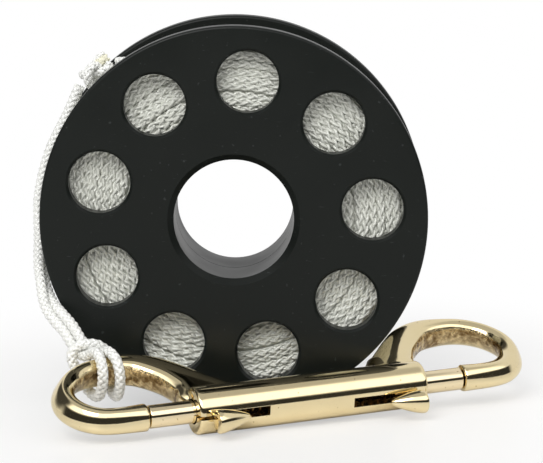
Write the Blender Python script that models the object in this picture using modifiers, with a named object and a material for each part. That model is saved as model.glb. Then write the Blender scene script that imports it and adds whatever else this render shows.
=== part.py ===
"""Finger spool: two moulded halves, a wound braided line and a double-ended bolt snap.

Metres, +Z up. The spool stands on its rims with its bore along Y, and the snap lies in front.
The origin is at the bottom centre of the solid pieces, cords left out.
"""

import math

import bmesh
import bpy
import numpy as np
from mathutils import Matrix, Vector

# Clearances and drafting values
SEAT_GAP = 0.0003
CUT_OVERRUN = 0.003
MERGE_DISTANCE = 0.00001
SHARP_DEGREES = 35.0
FINE_STEPS = 24

# Spool
FLANGE_RADIUS = 0.0445
FLANGE_THICKNESS = 0.0042
SPOOL_WIDTH = 0.0293
BORE_RADIUS = 0.0138
BORE_CHAMFER = 0.0014
HUB_RADIUS = 0.017
RIM_ROUNDING = 0.0007
RIM_STEPS = 3
SPIGOT_LENGTH = 0.0045
SPIGOT_WALL_SHARE = 0.5
SPOOL_STEPS = 72

# Holes in the flanges
HOLE_COUNT = 9
HOLE_RADIUS = 0.0071
HOLE_TO_RIM = 0.0055
HOLE_CHAMFER = 0.0006
FIRST_HOLE_ANGLE = math.radians(124.0)
HOLE_STEPS = 28

# Line
LINE_DIAMETER = 0.0022
PACK_TO_RIM = 0.0068
TURN_SPACE = 0.00042
TURN_POINTS = 24
LINE_EXIT_ANGLE = math.radians(112.0)

# Snap body, in its own frame: A along the barrel, B towards the bars, C up
BARREL_RADIUS = 0.00535
BARREL_HALF_LENGTH = 0.0272
BARREL_ROUNDING = 0.0005
BARREL_EDGE_STEPS = 2
EYE_REACH = 0.0546
TIP_TO_EYE_END = 0.0161
HOOK_ROD_RADIUS = 0.0032
EYE_BACK = 0.0198
BAR_HALF_WIDTH = 0.0024
BAR_HALF_HEIGHT = 0.0034
BARREL_STEPS = 36
SECTION_POINTS = 16
SECTION_SPACING = 0.0026

# Bolts, knobs and springs
BOLT_RADIUS = 0.0026
BOLT_CLEARANCE = 0.0003
BOLT_END_CHAMFER = 0.0003
BOLT_SHANK_BEHIND_STEM = 0.0018
BORE_BOTTOM = 0.0025
SLOT_WIDTH = 0.0032
SLOT_RISE = math.radians(12.0)
RIGHT_SLOT_INNER_END = 0.0095
LEFT_SLOT_INNER_END = 0.011
LIP_SLIT_WIDTH = 0.0009
STEM_RADIUS = 0.0013
STEM_DEPTH = 0.0012
STEM_STEPS = 20
KNOB_RADIUS = 0.0025
KNOB_LENGTH = 0.009
KNOB_STANDOFF = 0.0004
LEFT_KNOB_INSET = 0.0019
RIGHT_KNOB_INSET = 0.0006
SPRING_WIRE_RADIUS = 0.00025
SPRING_COIL_RADIUS = 0.0022
SPRING_CURLS = 9
CURL_POINTS = 9
SPRING_END_SHARE = 0.06

# Where the snap lies beside the spool
SNAP_OFFSET_X = 0.0166
SNAP_AHEAD_OF_FLANGE = 0.013
SNAP_YAW = math.radians(22.0)
SNAP_TILT = math.radians(20.0)
SNAP_ROLL = math.radians(1.4)

# Knot, tail and leader, placed by radius and angle about the spool's axis
KNOT_SIZE = 0.0014
KNOT_POINTS = 34
KNOT_OPENING_SHARE = 0.045
KNOT_RADIUS = 0.0458
KNOT_ANGLE = math.radians(134.5)
TAIL_RADIUS = 0.0492
TAIL_LENGTH = 0.006
STRAND_SPACING = 0.0028
KNOT_FAR_SHARE = 2.8
KNOT_NEAR_SHARE = 3.0
ROUTE_SPACING = 0.0046
HITCH_SPACING = 0.0017

# The doubled strand, from the knot down the left side to the snap, and how far round each other they lie
STRAND_ROUTE = (
    (-0.0386, 0.0, 0.0674), (-0.0429, 0.0, 0.0587), (-0.0454, -0.0005, 0.0493), (-0.0457, -0.0022, 0.0435),
    (-0.0456, -0.0047, 0.038), (-0.0456, -0.0087, 0.0328), (-0.0448, -0.0117, 0.0292),
    (-0.0433, -0.0147, 0.0255), (-0.0407, -0.0174, 0.0231), (-0.0378, -0.0202, 0.0208),
    (-0.0354, -0.0227, 0.0184),
)
STRAND_TURN_SHARES = (0.0, 0.0, 0.0, 0.0, 0.0, 0.0, 0.1, 0.2, 0.45, 0.8, 1.0, 1.0)

# The girth hitch round the bar of the left eye: along the bar, outwards from it, and up
HITCH_PLACE = -0.0416
HITCH_ROUTE = (
    (-0.0056, 0.0066, 0.0036), (-0.0042, 0.0043, 0.0049), (-0.0028, 0.0012, 0.0055),
    (-0.0023, -0.002, 0.0047), (-0.0022, -0.0039, 0.0023), (-0.0022, -0.004, -0.0015),
    (-0.0023, -0.0029, -0.0043), (-0.0028, 0.0, -0.0052), (-0.0037, 0.0031, -0.004),
    (-0.0049, 0.0043, -0.0008), (-0.0066, 0.0044, 0.0022), (-0.0076, 0.0044, 0.005),
    (-0.0065, 0.0044, 0.0077), (-0.0037, 0.0044, 0.0089), (-0.001, 0.0045, 0.0091),
    (0.0016, 0.0046, 0.0079), (0.0027, 0.0047, 0.005), (0.0025, 0.0044, 0.0024),
    (0.0023, 0.0044, -0.0012), (0.0022, 0.003, -0.0043), (0.0023, -0.0006, -0.0053),
    (0.0023, -0.0036, -0.0043), (0.0023, -0.0048, -0.0015), (0.0022, -0.0047, 0.002),
    (0.002, -0.003, 0.0047), (0.0011, 0.0009, 0.0057), (-0.0005, 0.0044, 0.0059),
    (-0.0018, 0.0073, 0.0068),
)

SPOOL_NAME = "finger_spool"
CORD_NAMES = ("line_leader", "line_knot", "line_tail", "line_loop")

# Places that follow from the sizes above
hole_circle_radius = FLANGE_RADIUS - HOLE_TO_RIM - HOLE_RADIUS
pack_radius = FLANGE_RADIUS - PACK_TO_RIM
tip_face = EYE_REACH - TIP_TO_EYE_END


def clear_scene():
    for item in list(bpy.data.objects):
        bpy.data.objects.remove(item, do_unlink=True)


def make_collection(name):
    collection = bpy.data.collections.new(name)
    bpy.context.scene.collection.children.link(collection)
    return collection


def make_material(name, colour, roughness, metallic):
    material = bpy.data.materials.new(name)
    material.use_nodes = True
    shader = material.node_tree.nodes["Principled BSDF"]
    shader.inputs["Base Color"].default_value = (*colour, 1.0)
    shader.inputs["Roughness"].default_value = roughness
    shader.inputs["Metallic"].default_value = metallic
    return material


def make_empty(name, parent, matrix):
    empty = bpy.data.objects.new(name, None)
    parts.objects.link(empty)
    empty.parent = parent
    empty.matrix_local = matrix
    return empty


def add_object(name, data, parent, material, collection=None):
    item = bpy.data.objects.new(name, data)
    (collection or parts).objects.link(item)
    item.parent = parent
    if material:
        data.materials.append(material)
    return item


def add_cutter(name, data, parent):
    item = add_object(name, data, parent, None, cutters)
    item.hide_render = True
    item.display_type = "WIRE"
    return item


def smooth(mesh):
    mesh.shade_smooth()
    mesh.set_sharp_from_angle(angle=math.radians(SHARP_DEGREES))


def outline_mesh(name, profile, closed=True):
    """An outline in the XZ plane, ready for a Screw modifier about Z."""
    mesh = bpy.data.meshes.new(name)
    points = [(radius, 0.0, height) for radius, height in profile]
    edges = [(index, index + 1) for index in range(len(points) - 1)]
    if closed:
        edges.append((len(points) - 1, 0))
    mesh.from_pydata(points, edges, [])
    return mesh


def add_screw(item, steps):
    screw = item.modifiers.new("turn", "SCREW")
    screw.axis = "Z"
    screw.steps = steps
    screw.render_steps = steps
    screw.use_merge_vertices = True
    screw.merge_threshold = MERGE_DISTANCE
    screw.use_smooth_shade = True
    screw.use_normal_calculate = False
    return screw


def bake(item):
    """Replace the object's mesh by what its modifiers make of it."""
    graph = bpy.context.evaluated_depsgraph_get()
    mesh = bpy.data.meshes.new_from_object(item.evaluated_get(graph))
    item.modifiers.clear()
    item.data = mesh
    smooth(mesh)
    return mesh


def boolean(item, other, operation):
    modifier = item.modifiers.new(operation.lower(), "BOOLEAN")
    modifier.operation = operation
    modifier.solver = "EXACT"
    modifier.object = other
    return modifier


def arc(centre_radius, centre_height, radius, start, end, steps):
    """Points of an arc in a turned profile; angles in degrees from the outward direction."""
    points = []
    for index in range(steps + 1):
        angle = math.radians(start + (end - start) * index / steps)
        points.append((centre_radius + radius * math.cos(angle), centre_height + radius * math.sin(angle)))
    return points


def smooth_curve(points, steps):
    """Points on a smooth curve through the given ones, with as many to each span as steps says."""
    given = [Vector(point) for point in points]
    before = given[0] * 2.0 - given[1]
    after = given[-1] * 2.0 - given[-2]
    control = [before, *given, after]
    curve = []
    for index, count in enumerate(steps):
        p0, p1, p2, p3 = control[index:index + 4]
        for step in range(count):
            t = step / count
            curve.append(0.5 * (2.0 * p1 + (p2 - p0) * t + (2.0 * p0 - 5.0 * p1 + 4.0 * p2 - p3) * t * t
                                + (3.0 * p1 - p0 - 3.0 * p2 + p3) * t * t * t))
    curve.append(given[-1])
    return curve


def spline_points(points, spacing, axes=3):
    """Evenly spaced points on a smooth curve through the given ones.

    The first values of each point, as many as axes says, are its place; any others ride along.
    """
    fine = smooth_curve(points, [FINE_STEPS] * (len(points) - 1))
    places = np.array([list(point) for point in fine])
    lengths = np.concatenate([[0.0], np.cumsum(np.linalg.norm(np.diff(places[:, :axes], axis=0), axis=1))])
    count = max(2, int(round(lengths[-1] / spacing)) + 1)
    wanted = np.linspace(0.0, lengths[-1], count)
    columns = [np.interp(wanted, lengths, places[:, column]) for column in range(places.shape[1])]
    return [tuple(row) for row in np.stack(columns, axis=1)]


def tube(name, points, radius, parent, material, resolution=2):
    curve = bpy.data.curves.new(name, "CURVE")
    curve.dimensions = "3D"
    curve.bevel_depth = radius
    curve.bevel_resolution = resolution
    curve.use_fill_caps = True
    spline = curve.splines.new("POLY")
    spline.points.add(len(points) - 1)
    for place, point in zip(spline.points, points):
        place.co = (*point, 1.0)
    return add_object(name, curve, parent, material)


def route_length(points):
    return float(np.linalg.norm(np.diff(np.array(points), axis=0), axis=1).sum())


def least_gap(points, diameter, skip):
    """The least gap of a tube to its own stretches that lie more than skip along it."""
    places = np.array(points)
    lengths = np.concatenate([[0.0], np.cumsum(np.linalg.norm(np.diff(places, axis=0), axis=1))])
    least = math.inf
    for index in range(len(places)):
        others = places[np.abs(lengths - lengths[index]) > skip]
        if len(others):
            least = min(least, float(np.linalg.norm(others - places[index], axis=1).min()))
    return least - diameter


# Spool halves


def flange_rim(outer, inner):
    """The rounded rim of a flange, from the face at height outer to the face at height inner."""
    reach = FLANGE_RADIUS - RIM_ROUNDING
    points = arc(reach, outer - RIM_ROUNDING, RIM_ROUNDING, 90.0, 0.0, RIM_STEPS)
    points += arc(reach, inner + RIM_ROUNDING, RIM_ROUNDING, 0.0, -90.0, RIM_STEPS)
    return points


def spool_half(name, profile, outer_face, inner_face):
    half = add_object(name, outline_mesh(name, profile), spool_frame, acetal)
    add_screw(half, SPOOL_STEPS)
    bake(half)
    for index in range(HOLE_COUNT):
        angle = -FIRST_HOLE_ANGLE + index * math.tau / HOLE_COUNT
        cutter = hole_cutter(f"{name}_hole_{index + 1}", outer_face, inner_face)
        cutter.location = (hole_circle_radius * math.cos(angle), hole_circle_radius * math.sin(angle), 0.0)
        boolean(half, cutter, "DIFFERENCE")
    return half


def hole_cutter(name, outer_face, inner_face):
    """A turned cutter that flares at the flange's outer face, for the hole's chamfer."""
    outward = 1.0 if outer_face > inner_face else -1.0
    flare = HOLE_RADIUS + HOLE_CHAMFER + CUT_OVERRUN
    profile = [
        (0.0, outer_face + outward * CUT_OVERRUN),
        (flare, outer_face + outward * CUT_OVERRUN),
        (HOLE_RADIUS, outer_face - outward * HOLE_CHAMFER),
        (HOLE_RADIUS, inner_face - outward * CUT_OVERRUN),
        (0.0, inner_face - outward * CUT_OVERRUN),
    ]
    if outward < 0.0:
        profile.reverse()
    cutter = add_cutter(name, outline_mesh(name, profile, closed=False), spool_frame)
    add_screw(cutter, HOLE_STEPS)
    return cutter


def make_spool_halves():
    half_width = SPOOL_WIDTH / 2.0
    inner = half_width - FLANGE_THICKNESS
    wall = HUB_RADIUS - BORE_RADIUS
    step_radius = BORE_RADIUS + wall * SPIGOT_WALL_SHARE
    front_profile = [
        (HUB_RADIUS, SPIGOT_LENGTH),
        (HUB_RADIUS, -inner),
        *flange_rim(-inner, -half_width),
        (BORE_RADIUS + BORE_CHAMFER, -half_width),
        (BORE_RADIUS, -half_width + BORE_CHAMFER),
        (BORE_RADIUS, 0.0),
        (step_radius, 0.0),
        (step_radius, SPIGOT_LENGTH),
    ]
    rear_profile = [
        *flange_rim(half_width, inner),
        (HUB_RADIUS, inner),
        (HUB_RADIUS, SPIGOT_LENGTH + SEAT_GAP),
        (step_radius - SEAT_GAP, SPIGOT_LENGTH + SEAT_GAP),
        (step_radius - SEAT_GAP, SEAT_GAP),
        (BORE_RADIUS, SEAT_GAP),
        (BORE_RADIUS, half_width - BORE_CHAMFER),
        (BORE_RADIUS + BORE_CHAMFER, half_width),
    ]
    spool_half("front_half", front_profile, -half_width, -inner)
    spool_half("rear_half", rear_profile, half_width, inner)


# Wound line


def make_wound_line():
    inner = SPOOL_WIDTH / 2.0 - FLANGE_THICKNESS - SEAT_GAP
    profile = [
        (pack_radius, inner),
        (pack_radius, -inner),
        (HUB_RADIUS + SEAT_GAP, -inner),
        (HUB_RADIUS + SEAT_GAP, inner),
    ]
    pack = add_object("line_pack", outline_mesh("line_pack", profile), spool_frame, nylon)
    add_screw(pack, SPOOL_STEPS)
    radius = (pack_radius + SEAT_GAP + LINE_DIAMETER / 2.0) / math.cos(math.pi / TURN_POINTS)
    reach = inner - SEAT_GAP - LINE_DIAMETER / 2.0
    pitch = LINE_DIAMETER + TURN_SPACE
    turns = int(2.0 * reach / pitch)
    points = []
    count = turns * TURN_POINTS
    for index in range(count + 1):
        angle = -LINE_EXIT_ANGLE + math.tau * index / TURN_POINTS
        height = reach - 2.0 * reach * index / count
        points.append(Vector((radius * math.cos(angle), radius * math.sin(angle), height)))
    first = (points[0] - points[1]).normalized() * LINE_DIAMETER
    last = (points[-1] - points[-2]).normalized() * LINE_DIAMETER
    points = [points[0] + first, *points, points[-1] + last]
    tube("line_top_layer", points, LINE_DIAMETER / 2.0, spool_frame, nylon, 1)
    gap = least_gap(points, LINE_DIAMETER, LINE_DIAMETER * math.pi)
    print(f"top layer: {turns} turns, {route_length(points):.3f} m, least gap to itself {gap * 1000.0:.2f} mm")
    return radius + LINE_DIAMETER / 2.0


# Snap


def loft(name, rings, parent, material):
    """A closed body through rings of equal point count."""
    shape = bmesh.new()
    rows = [[shape.verts.new(point) for point in ring] for ring in rings]
    count = len(rings[0])
    for lower, upper in zip(rows, rows[1:]):
        for index in range(count):
            after = (index + 1) % count
            shape.faces.new((lower[index], lower[after], upper[after], upper[index]))
    shape.faces.new(reversed(rows[0]))
    shape.faces.new(rows[-1])
    bmesh.ops.recalc_face_normals(shape, faces=shape.faces)
    mesh = bpy.data.meshes.new(name)
    shape.to_mesh(mesh)
    shape.free()
    return add_object(name, mesh, parent, material)


def hook_sections():
    """Centreline, half width, half height and squareness from the tip round the eye into the barrel."""
    rod = HOOK_ROD_RADIUS
    wide = BAR_HALF_WIDTH
    high = BAR_HALF_HEIGHT
    round_power = 2.0
    square_power = 2.8
    reach_shares = (0.83, 0.908, 0.969, 1.0, 0.993, 0.945, 0.869, 0.775, 0.66, 0.577, 0.514, 0.462, 0.42, 0.31)
    back_shares = (0.0, 0.045, 0.182, 0.382, 0.6, 0.809, 0.95, 1.0, 0.975, 0.85, 0.67, 0.455, 0.26, 0.08)
    width_shares = (1.33, 1.33, 1.25, 1.13, 1.08, 1.04, 1.0, 1.0, 1.3, 1.6, 1.75, 2.1, 2.7, 1.6)
    sections = [(tip_face, 0.0, rod, rod, round_power)]
    for index, (reach, back, width) in enumerate(zip(reach_shares, back_shares, width_shares)):
        grown = min(1.0, index / 5.0)
        height = rod + (high - rod) * grown
        power = round_power + (square_power - round_power) * grown
        sections.append((EYE_REACH * reach, EYE_BACK * back, wide * width, height, power))
    return spline_points(sections, SECTION_SPACING, axes=2)


def ring_at(place, along, width, height, power):
    side = Vector((-along.y, along.x, 0.0))
    up = Vector((0.0, 0.0, 1.0))
    ring = []
    for index in range(SECTION_POINTS):
        angle = math.tau * index / SECTION_POINTS
        across = math.copysign(abs(math.cos(angle)) ** (2.0 / power), math.cos(angle))
        rise = math.copysign(abs(math.sin(angle)) ** (2.0 / power), math.sin(angle))
        ring.append(place + side * (across * width) + up * (rise * height))
    return ring


def hook(name, side):
    """One eye of the snap; side is 1 for the right end and -1 for the left."""
    sections = hook_sections()
    places = [Vector((side * row[0], row[1], 0.0)) for row in sections]
    rings = []
    for index, row in enumerate(sections):
        before = places[max(index - 1, 0)]
        after = places[min(index + 1, len(places) - 1)]
        along = (after - before).normalized()
        if index == 0:
            along = Vector((side, 0.0, 0.0))
        rings.append(ring_at(places[index], along, *row[2:]))
    return loft(name, rings, snap_frame, brass)


def box_mesh(name, low, high):
    shape = bmesh.new()
    bmesh.ops.create_cube(shape, size=1.0)
    size = Vector(high) - Vector(low)
    centre = (Vector(high) + Vector(low)) / 2.0
    bmesh.ops.scale(shape, vec=size, verts=shape.verts)
    bmesh.ops.translate(shape, vec=centre, verts=shape.verts)
    mesh = bpy.data.meshes.new(name)
    shape.to_mesh(mesh)
    shape.free()
    return mesh


def turned_along(side):
    """Stands a turned piece along the barrel, its top towards the end named by side."""
    return Matrix.Rotation(side * math.pi / 2.0, 4, "Y")


def front_turn():
    """From the plane of the eyes up to the line of the slots, round the barrel."""
    return Matrix.Rotation(-SLOT_RISE, 4, "X")


def knob_inset(side):
    return RIGHT_KNOB_INSET if side > 0 else LEFT_KNOB_INSET


def knob_outer_end(side):
    return BARREL_HALF_LENGTH - knob_inset(side)


def stem_place(side):
    return knob_outer_end(side) - KNOB_RADIUS


def slot_span(side):
    """Inner and outer end of the slot; the knob is at its outer end at rest."""
    inner = RIGHT_SLOT_INNER_END if side > 0 else LEFT_SLOT_INNER_END
    return inner, stem_place(side) + STEM_RADIUS + SEAT_GAP


def bolt_travel(side):
    inner, _ = slot_span(side)
    return stem_place(side) - STEM_RADIUS - SEAT_GAP - inner


def bolt_inner_end(side):
    return stem_place(side) - STEM_RADIUS - SEAT_GAP - BOLT_SHANK_BEHIND_STEM


def make_snap_body():
    edge = BARREL_ROUNDING
    profile = [
        (0.0, BARREL_HALF_LENGTH),
        *arc(BARREL_RADIUS - edge, BARREL_HALF_LENGTH - edge, edge, 90.0, 0.0, BARREL_EDGE_STEPS),
        *arc(BARREL_RADIUS - edge, -BARREL_HALF_LENGTH + edge, edge, 0.0, -90.0, BARREL_EDGE_STEPS),
        (0.0, -BARREL_HALF_LENGTH),
    ]
    body = add_object("snap_body", outline_mesh("snap_body", profile, closed=False), snap_frame, brass)
    add_screw(body, BARREL_STEPS)
    body.matrix_local = turned_along(1)
    bake(body)
    body.data.transform(turned_along(1))
    body.matrix_local = Matrix.Identity(4)
    for side, label in ((1, "right"), (-1, "left")):
        piece = hook(f"{label}_hook_blank", side)
        boolean(body, piece, "UNION")
        bake(body)
        bpy.data.objects.remove(piece, do_unlink=True)
    for side, label in ((1, "right"), (-1, "left")):
        boolean(body, bore_cutter(f"{label}_barrel_bore", side), "DIFFERENCE")
        inner, outer = slot_span(side)
        half = SLOT_WIDTH / 2.0
        front = -BARREL_RADIUS - CUT_OVERRUN
        ends = sorted((side * inner, side * outer))
        slot_mesh = box_mesh(f"{label}_slot", (ends[0], front, -half), (ends[1], 0.0, half))
        slot = add_cutter(f"{label}_slot", slot_mesh, snap_frame)
        slot.matrix_local = front_turn()
        boolean(body, slot, "DIFFERENCE")
        mouth = sorted((side * (outer - SEAT_GAP), side * (BARREL_HALF_LENGTH + CUT_OVERRUN)))
        half_slit = LIP_SLIT_WIDTH / 2.0
        slit = add_cutter(f"{label}_slit", box_mesh(f"{label}_slit", (mouth[0], front, -half_slit),
                                                    (mouth[1], 0.0, half_slit)), snap_frame)
        slit.matrix_local = front_turn()
        boolean(body, slit, "DIFFERENCE")
    return body


def bore_cutter(name, side):
    radius = BOLT_RADIUS + BOLT_CLEARANCE
    profile = [
        (0.0, BARREL_HALF_LENGTH + CUT_OVERRUN),
        (radius, BARREL_HALF_LENGTH + CUT_OVERRUN),
        (radius, BORE_BOTTOM),
        (0.0, BORE_BOTTOM),
    ]
    cutter = add_cutter(name, outline_mesh(name, profile, closed=False), snap_frame)
    add_screw(cutter, BARREL_STEPS)
    cutter.matrix_local = turned_along(side)
    return cutter


def make_bolt(label, side):
    frame = make_empty(f"{label}_bolt_axis", snap_frame, front_turn() @ turned_along(side))
    tip = tip_face - SEAT_GAP
    edge = BOLT_END_CHAMFER
    inner_end = bolt_inner_end(side)
    profile = [
        (0.0, tip),
        (BOLT_RADIUS - edge, tip),
        (BOLT_RADIUS, tip - edge),
        (BOLT_RADIUS, inner_end + edge),
        (BOLT_RADIUS - edge, inner_end),
        (0.0, inner_end),
    ]
    name = f"{label}_bolt"
    bolt = add_object(name, outline_mesh(name, profile, closed=False), frame, brass_rod)
    add_screw(bolt, BARREL_STEPS)
    bake(bolt)
    socket = cross_cylinder(f"{name}_socket", STEM_RADIUS + SEAT_GAP, stem_place(side), STEM_DEPTH + SEAT_GAP,
                            BOLT_RADIUS + CUT_OVERRUN, frame)
    boolean(bolt, socket, "DIFFERENCE")
    return frame


def cross_cylinder(name, radius, height, inner, outer, parent, cutter=True):
    """A cylinder across the bolt's axis, pointing to the front, from depth -inner to outer."""
    shape = bmesh.new()
    bmesh.ops.create_cone(shape, cap_ends=True, segments=STEM_STEPS, radius1=radius, radius2=radius,
                          depth=outer + inner)
    turn = Matrix.Rotation(math.pi / 2.0, 4, "X")
    move = Matrix.Translation((0.0, -(outer - inner) / 2.0, height))
    bmesh.ops.transform(shape, matrix=move @ turn, verts=shape.verts)
    mesh = bpy.data.meshes.new(name)
    shape.to_mesh(mesh)
    shape.free()
    if cutter:
        return add_cutter(name, mesh, parent)
    return add_object(name, mesh, parent, brass)


def make_knob(label, side, frame):
    """A turned teardrop on a stem that goes through the slot into the bolt."""
    name = f"{label}_thumb_knob"
    outer = knob_outer_end(side)
    radius_shares = (0.0, 0.62, 0.93, 1.0, 0.95, 0.78, 0.56, 0.36, 0.18, 0.0)
    length_shares = (0.0, 0.0, 0.09, 0.22, 0.38, 0.57, 0.76, 0.9, 0.98, 1.0)
    profile = [(KNOB_RADIUS * wide, outer - KNOB_LENGTH * along)
               for wide, along in zip(radius_shares, length_shares)]
    knob = add_object(name, outline_mesh(name, profile, closed=False), frame, brass)
    add_screw(knob, BARREL_STEPS)
    bake(knob)
    knob.data.transform(Matrix.Translation((0.0, -(BARREL_RADIUS + KNOB_STANDOFF + KNOB_RADIUS), 0.0)))
    stem = cross_cylinder(f"{name}_stem", STEM_RADIUS, stem_place(side), STEM_DEPTH,
                          BARREL_RADIUS + KNOB_STANDOFF + KNOB_RADIUS, frame, cutter=False)
    boolean(knob, stem, "UNION")
    bake(knob)
    bpy.data.objects.remove(stem, do_unlink=True)


def make_spring(label, side):
    frame = make_empty(f"{label}_spring_axis", snap_frame, turned_along(side))
    low = BORE_BOTTOM + SEAT_GAP + SPRING_WIRE_RADIUS
    high = bolt_inner_end(side) - SEAT_GAP - SPRING_WIRE_RADIUS
    count = SPRING_CURLS * CURL_POINTS
    middle_share = 1.0 - 2.0 * SPRING_END_SHARE
    points = []
    for index in range(count + 1):
        share = index / count
        eased = min(max((share - SPRING_END_SHARE) / middle_share, 0.0), 1.0)
        rise = low + (high - low) * (eased * middle_share + share * (1.0 - middle_share))
        angle = math.tau * index / CURL_POINTS
        points.append((SPRING_COIL_RADIUS * math.cos(angle), SPRING_COIL_RADIUS * math.sin(angle), rise))
    tube(f"{label}_spring", points, SPRING_WIRE_RADIUS, frame, steel, 1)


# Cords


def around_spool(radius, angle, along=0.0):
    """A place beside the spool's axis; the angle runs from +X towards +Z."""
    return Vector((radius * math.cos(angle), along, FLANGE_RADIUS + radius * math.sin(angle)))


def tangent_at(angle):
    return Vector((-math.sin(angle), 0.0, math.cos(angle)))


def knot_points():
    """A thumb knot pulled up: a flat trefoil lying across the mouth of the spool."""
    centre = around_spool(KNOT_RADIUS, KNOT_ANGLE)
    outward = Vector((math.cos(KNOT_ANGLE), 0.0, math.sin(KNOT_ANGLE)))
    along = tangent_at(KNOT_ANGLE)
    across = Vector((0.0, 1.0, 0.0))
    drawn_share = 1.0 - 2.0 * KNOT_OPENING_SHARE
    points = []
    for index in range(KNOT_POINTS + 1):
        turn = math.pi + math.tau * (KNOT_OPENING_SHARE + drawn_share * index / KNOT_POINTS)
        wide = math.sin(turn) + 2.0 * math.sin(2.0 * turn)
        long = math.cos(turn) - 2.0 * math.cos(2.0 * turn)
        deep = -math.sin(3.0 * turn)
        points.append(centre + (across * wide + along * long + outward * deep) * KNOT_SIZE)
    return points


def make_leader(layer_radius):
    """The single line from the outer turns up to the knot."""
    low = layer_radius + SEAT_GAP + LINE_DIAMETER / 2.0
    knot_side = KNOT_ANGLE - (KNOT_NEAR_SHARE * KNOT_SIZE + LINE_DIAMETER / 2.0 + SEAT_GAP) / KNOT_RADIUS
    rise_shares = (0.0, 0.05, 0.3, 0.7, 1.0)
    points = []
    for index, rise in enumerate(rise_shares):
        angle = LINE_EXIT_ANGLE + (knot_side - LINE_EXIT_ANGLE) * index / (len(rise_shares) - 1)
        points.append(around_spool(low + (KNOT_RADIUS - low) * rise, angle))
    points = spline_points(points, LINE_DIAMETER)
    tube("line_leader", points, LINE_DIAMETER / 2.0, root, nylon)
    print(f"leader: {route_length(points):.4f} m")


def make_tail():
    """The short cut end of the line beside the knot."""
    near = KNOT_ANGLE - KNOT_SIZE / KNOT_RADIUS
    far = near - TAIL_LENGTH / TAIL_RADIUS
    place_shares = (0.0, 0.5, 1.0)
    points = [around_spool(TAIL_RADIUS, near + (far - near) * share) for share in place_shares]
    tube("line_tail", points, LINE_DIAMETER / 2.0, root, nylon)


def make_loop():
    """The doubled strand, one tube from the knot through the girth hitch and back to the knot."""
    clear_of_knot = KNOT_FAR_SHARE * KNOT_SIZE + LINE_DIAMETER / 2.0 + SEAT_GAP
    start = around_spool(KNOT_RADIUS, KNOT_ANGLE) + tangent_at(KNOT_ANGLE) * clear_of_knot
    middle = [start, *(Vector(point) for point in STRAND_ROUTE)]
    outer = []
    inner = []
    for index, place in enumerate(middle):
        before = middle[max(index - 1, 0)]
        after = middle[min(index + 1, len(middle) - 1)]
        run = after - before
        outward = Vector((place.x, 0.0, place.z - FLANGE_RADIUS))
        turn = STRAND_TURN_SHARES[index]
        side = (outward.cross(run).normalized() * (1.0 - turn)
                + Vector((0.0, 1.0, 0.0)).cross(run).normalized() * turn).normalized() * (STRAND_SPACING / 2.0)
        outer.append(place + side)
        inner.append(place - side)
    local = Matrix.Translation((HITCH_PLACE, EYE_BACK, 0.0))
    hitch = [snap_matrix @ local @ Vector(point) for point in HITCH_ROUTE]
    control = [*outer, *hitch, *reversed(inner)]
    steps = []
    for index, (here, there) in enumerate(zip(control, control[1:])):
        in_hitch = len(outer) - 1 <= index < len(outer) + len(hitch)
        limit = HITCH_SPACING if in_hitch else ROUTE_SPACING
        steps.append(max(1, round((there - here).length / limit)))
    points = smooth_curve(control, steps)
    tube("line_loop", points, LINE_DIAMETER / 2.0, root, nylon)
    gap = least_gap(points, LINE_DIAMETER, LINE_DIAMETER * math.pi)
    print(f"loop: {len(points)} points, {route_length(points):.4f} m, least gap to itself {gap * 1000.0:.2f} mm")


def set_down(frame, names):
    """Move the whole so that the origin is at the bottom centre of the named pieces."""
    graph = bpy.context.evaluated_depsgraph_get()
    corners = []
    for name in names:
        item = bpy.data.objects[name].evaluated_get(graph)
        mesh = item.to_mesh()
        corners += [item.matrix_world @ vertex.co for vertex in mesh.vertices]
        item.to_mesh_clear()
    places = np.array([list(corner) for corner in corners])
    low = places.min(axis=0)
    high = places.max(axis=0)
    middle = (low + high) / 2.0
    frame.location = (-middle[0], -middle[1], -low[2])
    moved = np.array(list(frame.location))
    print(f"size {np.round((high - low) * 1000.0, 2)} mm, moved by {np.round(moved * 1000.0, 3)} mm")


clear_scene()
parts = make_collection(SPOOL_NAME)
cutters = make_collection("cutters")
acetal = make_material("black_acetal", (0.018, 0.019, 0.018), 0.38, 0.0)
nylon = make_material("white_nylon", (0.8, 0.8, 0.78), 0.6, 0.0)
brass = make_material("polished_brass", (0.72, 0.5, 0.22), 0.18, 1.0)
brass_rod = make_material("brass_rod", (0.75, 0.54, 0.26), 0.15, 1.0)
steel = make_material("spring_steel", (0.5, 0.5, 0.5), 0.3, 1.0)

root = make_empty(SPOOL_NAME + "_frame", None, Matrix.Identity(4))
spool_frame = make_empty("spool_axis", root, Matrix.Translation((0.0, 0.0, FLANGE_RADIUS))
                         @ Matrix.Rotation(-math.pi / 2.0, 4, "X"))
snap_height = BARREL_RADIUS + math.sin(SNAP_ROLL) * BARREL_HALF_LENGTH
snap_place = Vector((SNAP_OFFSET_X, -SPOOL_WIDTH / 2.0 - SNAP_AHEAD_OF_FLANGE, snap_height))
snap_matrix = (Matrix.Translation(snap_place) @ Matrix.Rotation(SNAP_YAW, 4, "Z")
               @ Matrix.Rotation(-SNAP_ROLL, 4, "Y") @ Matrix.Rotation(SNAP_TILT, 4, "X"))
snap_frame = make_empty("snap_frame", root, snap_matrix)
make_spool_halves()
layer_radius = make_wound_line()
make_snap_body()
for side, label in ((1, "right"), (-1, "left")):
    bolt_frame = make_bolt(label, side)
    make_knob(label, side, bolt_frame)
    make_spring(label, side)
    print(f"{label} bolt travel {bolt_travel(side) * 1000.0:.2f} mm")
tube("line_knot", knot_points(), LINE_DIAMETER / 2.0, root, nylon)
make_leader(layer_radius)
make_tail()
make_loop()
solid_names = [item.name for item in parts.objects if item.type != "EMPTY" and item.name not in CORD_NAMES]
set_down(root, solid_names)
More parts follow.
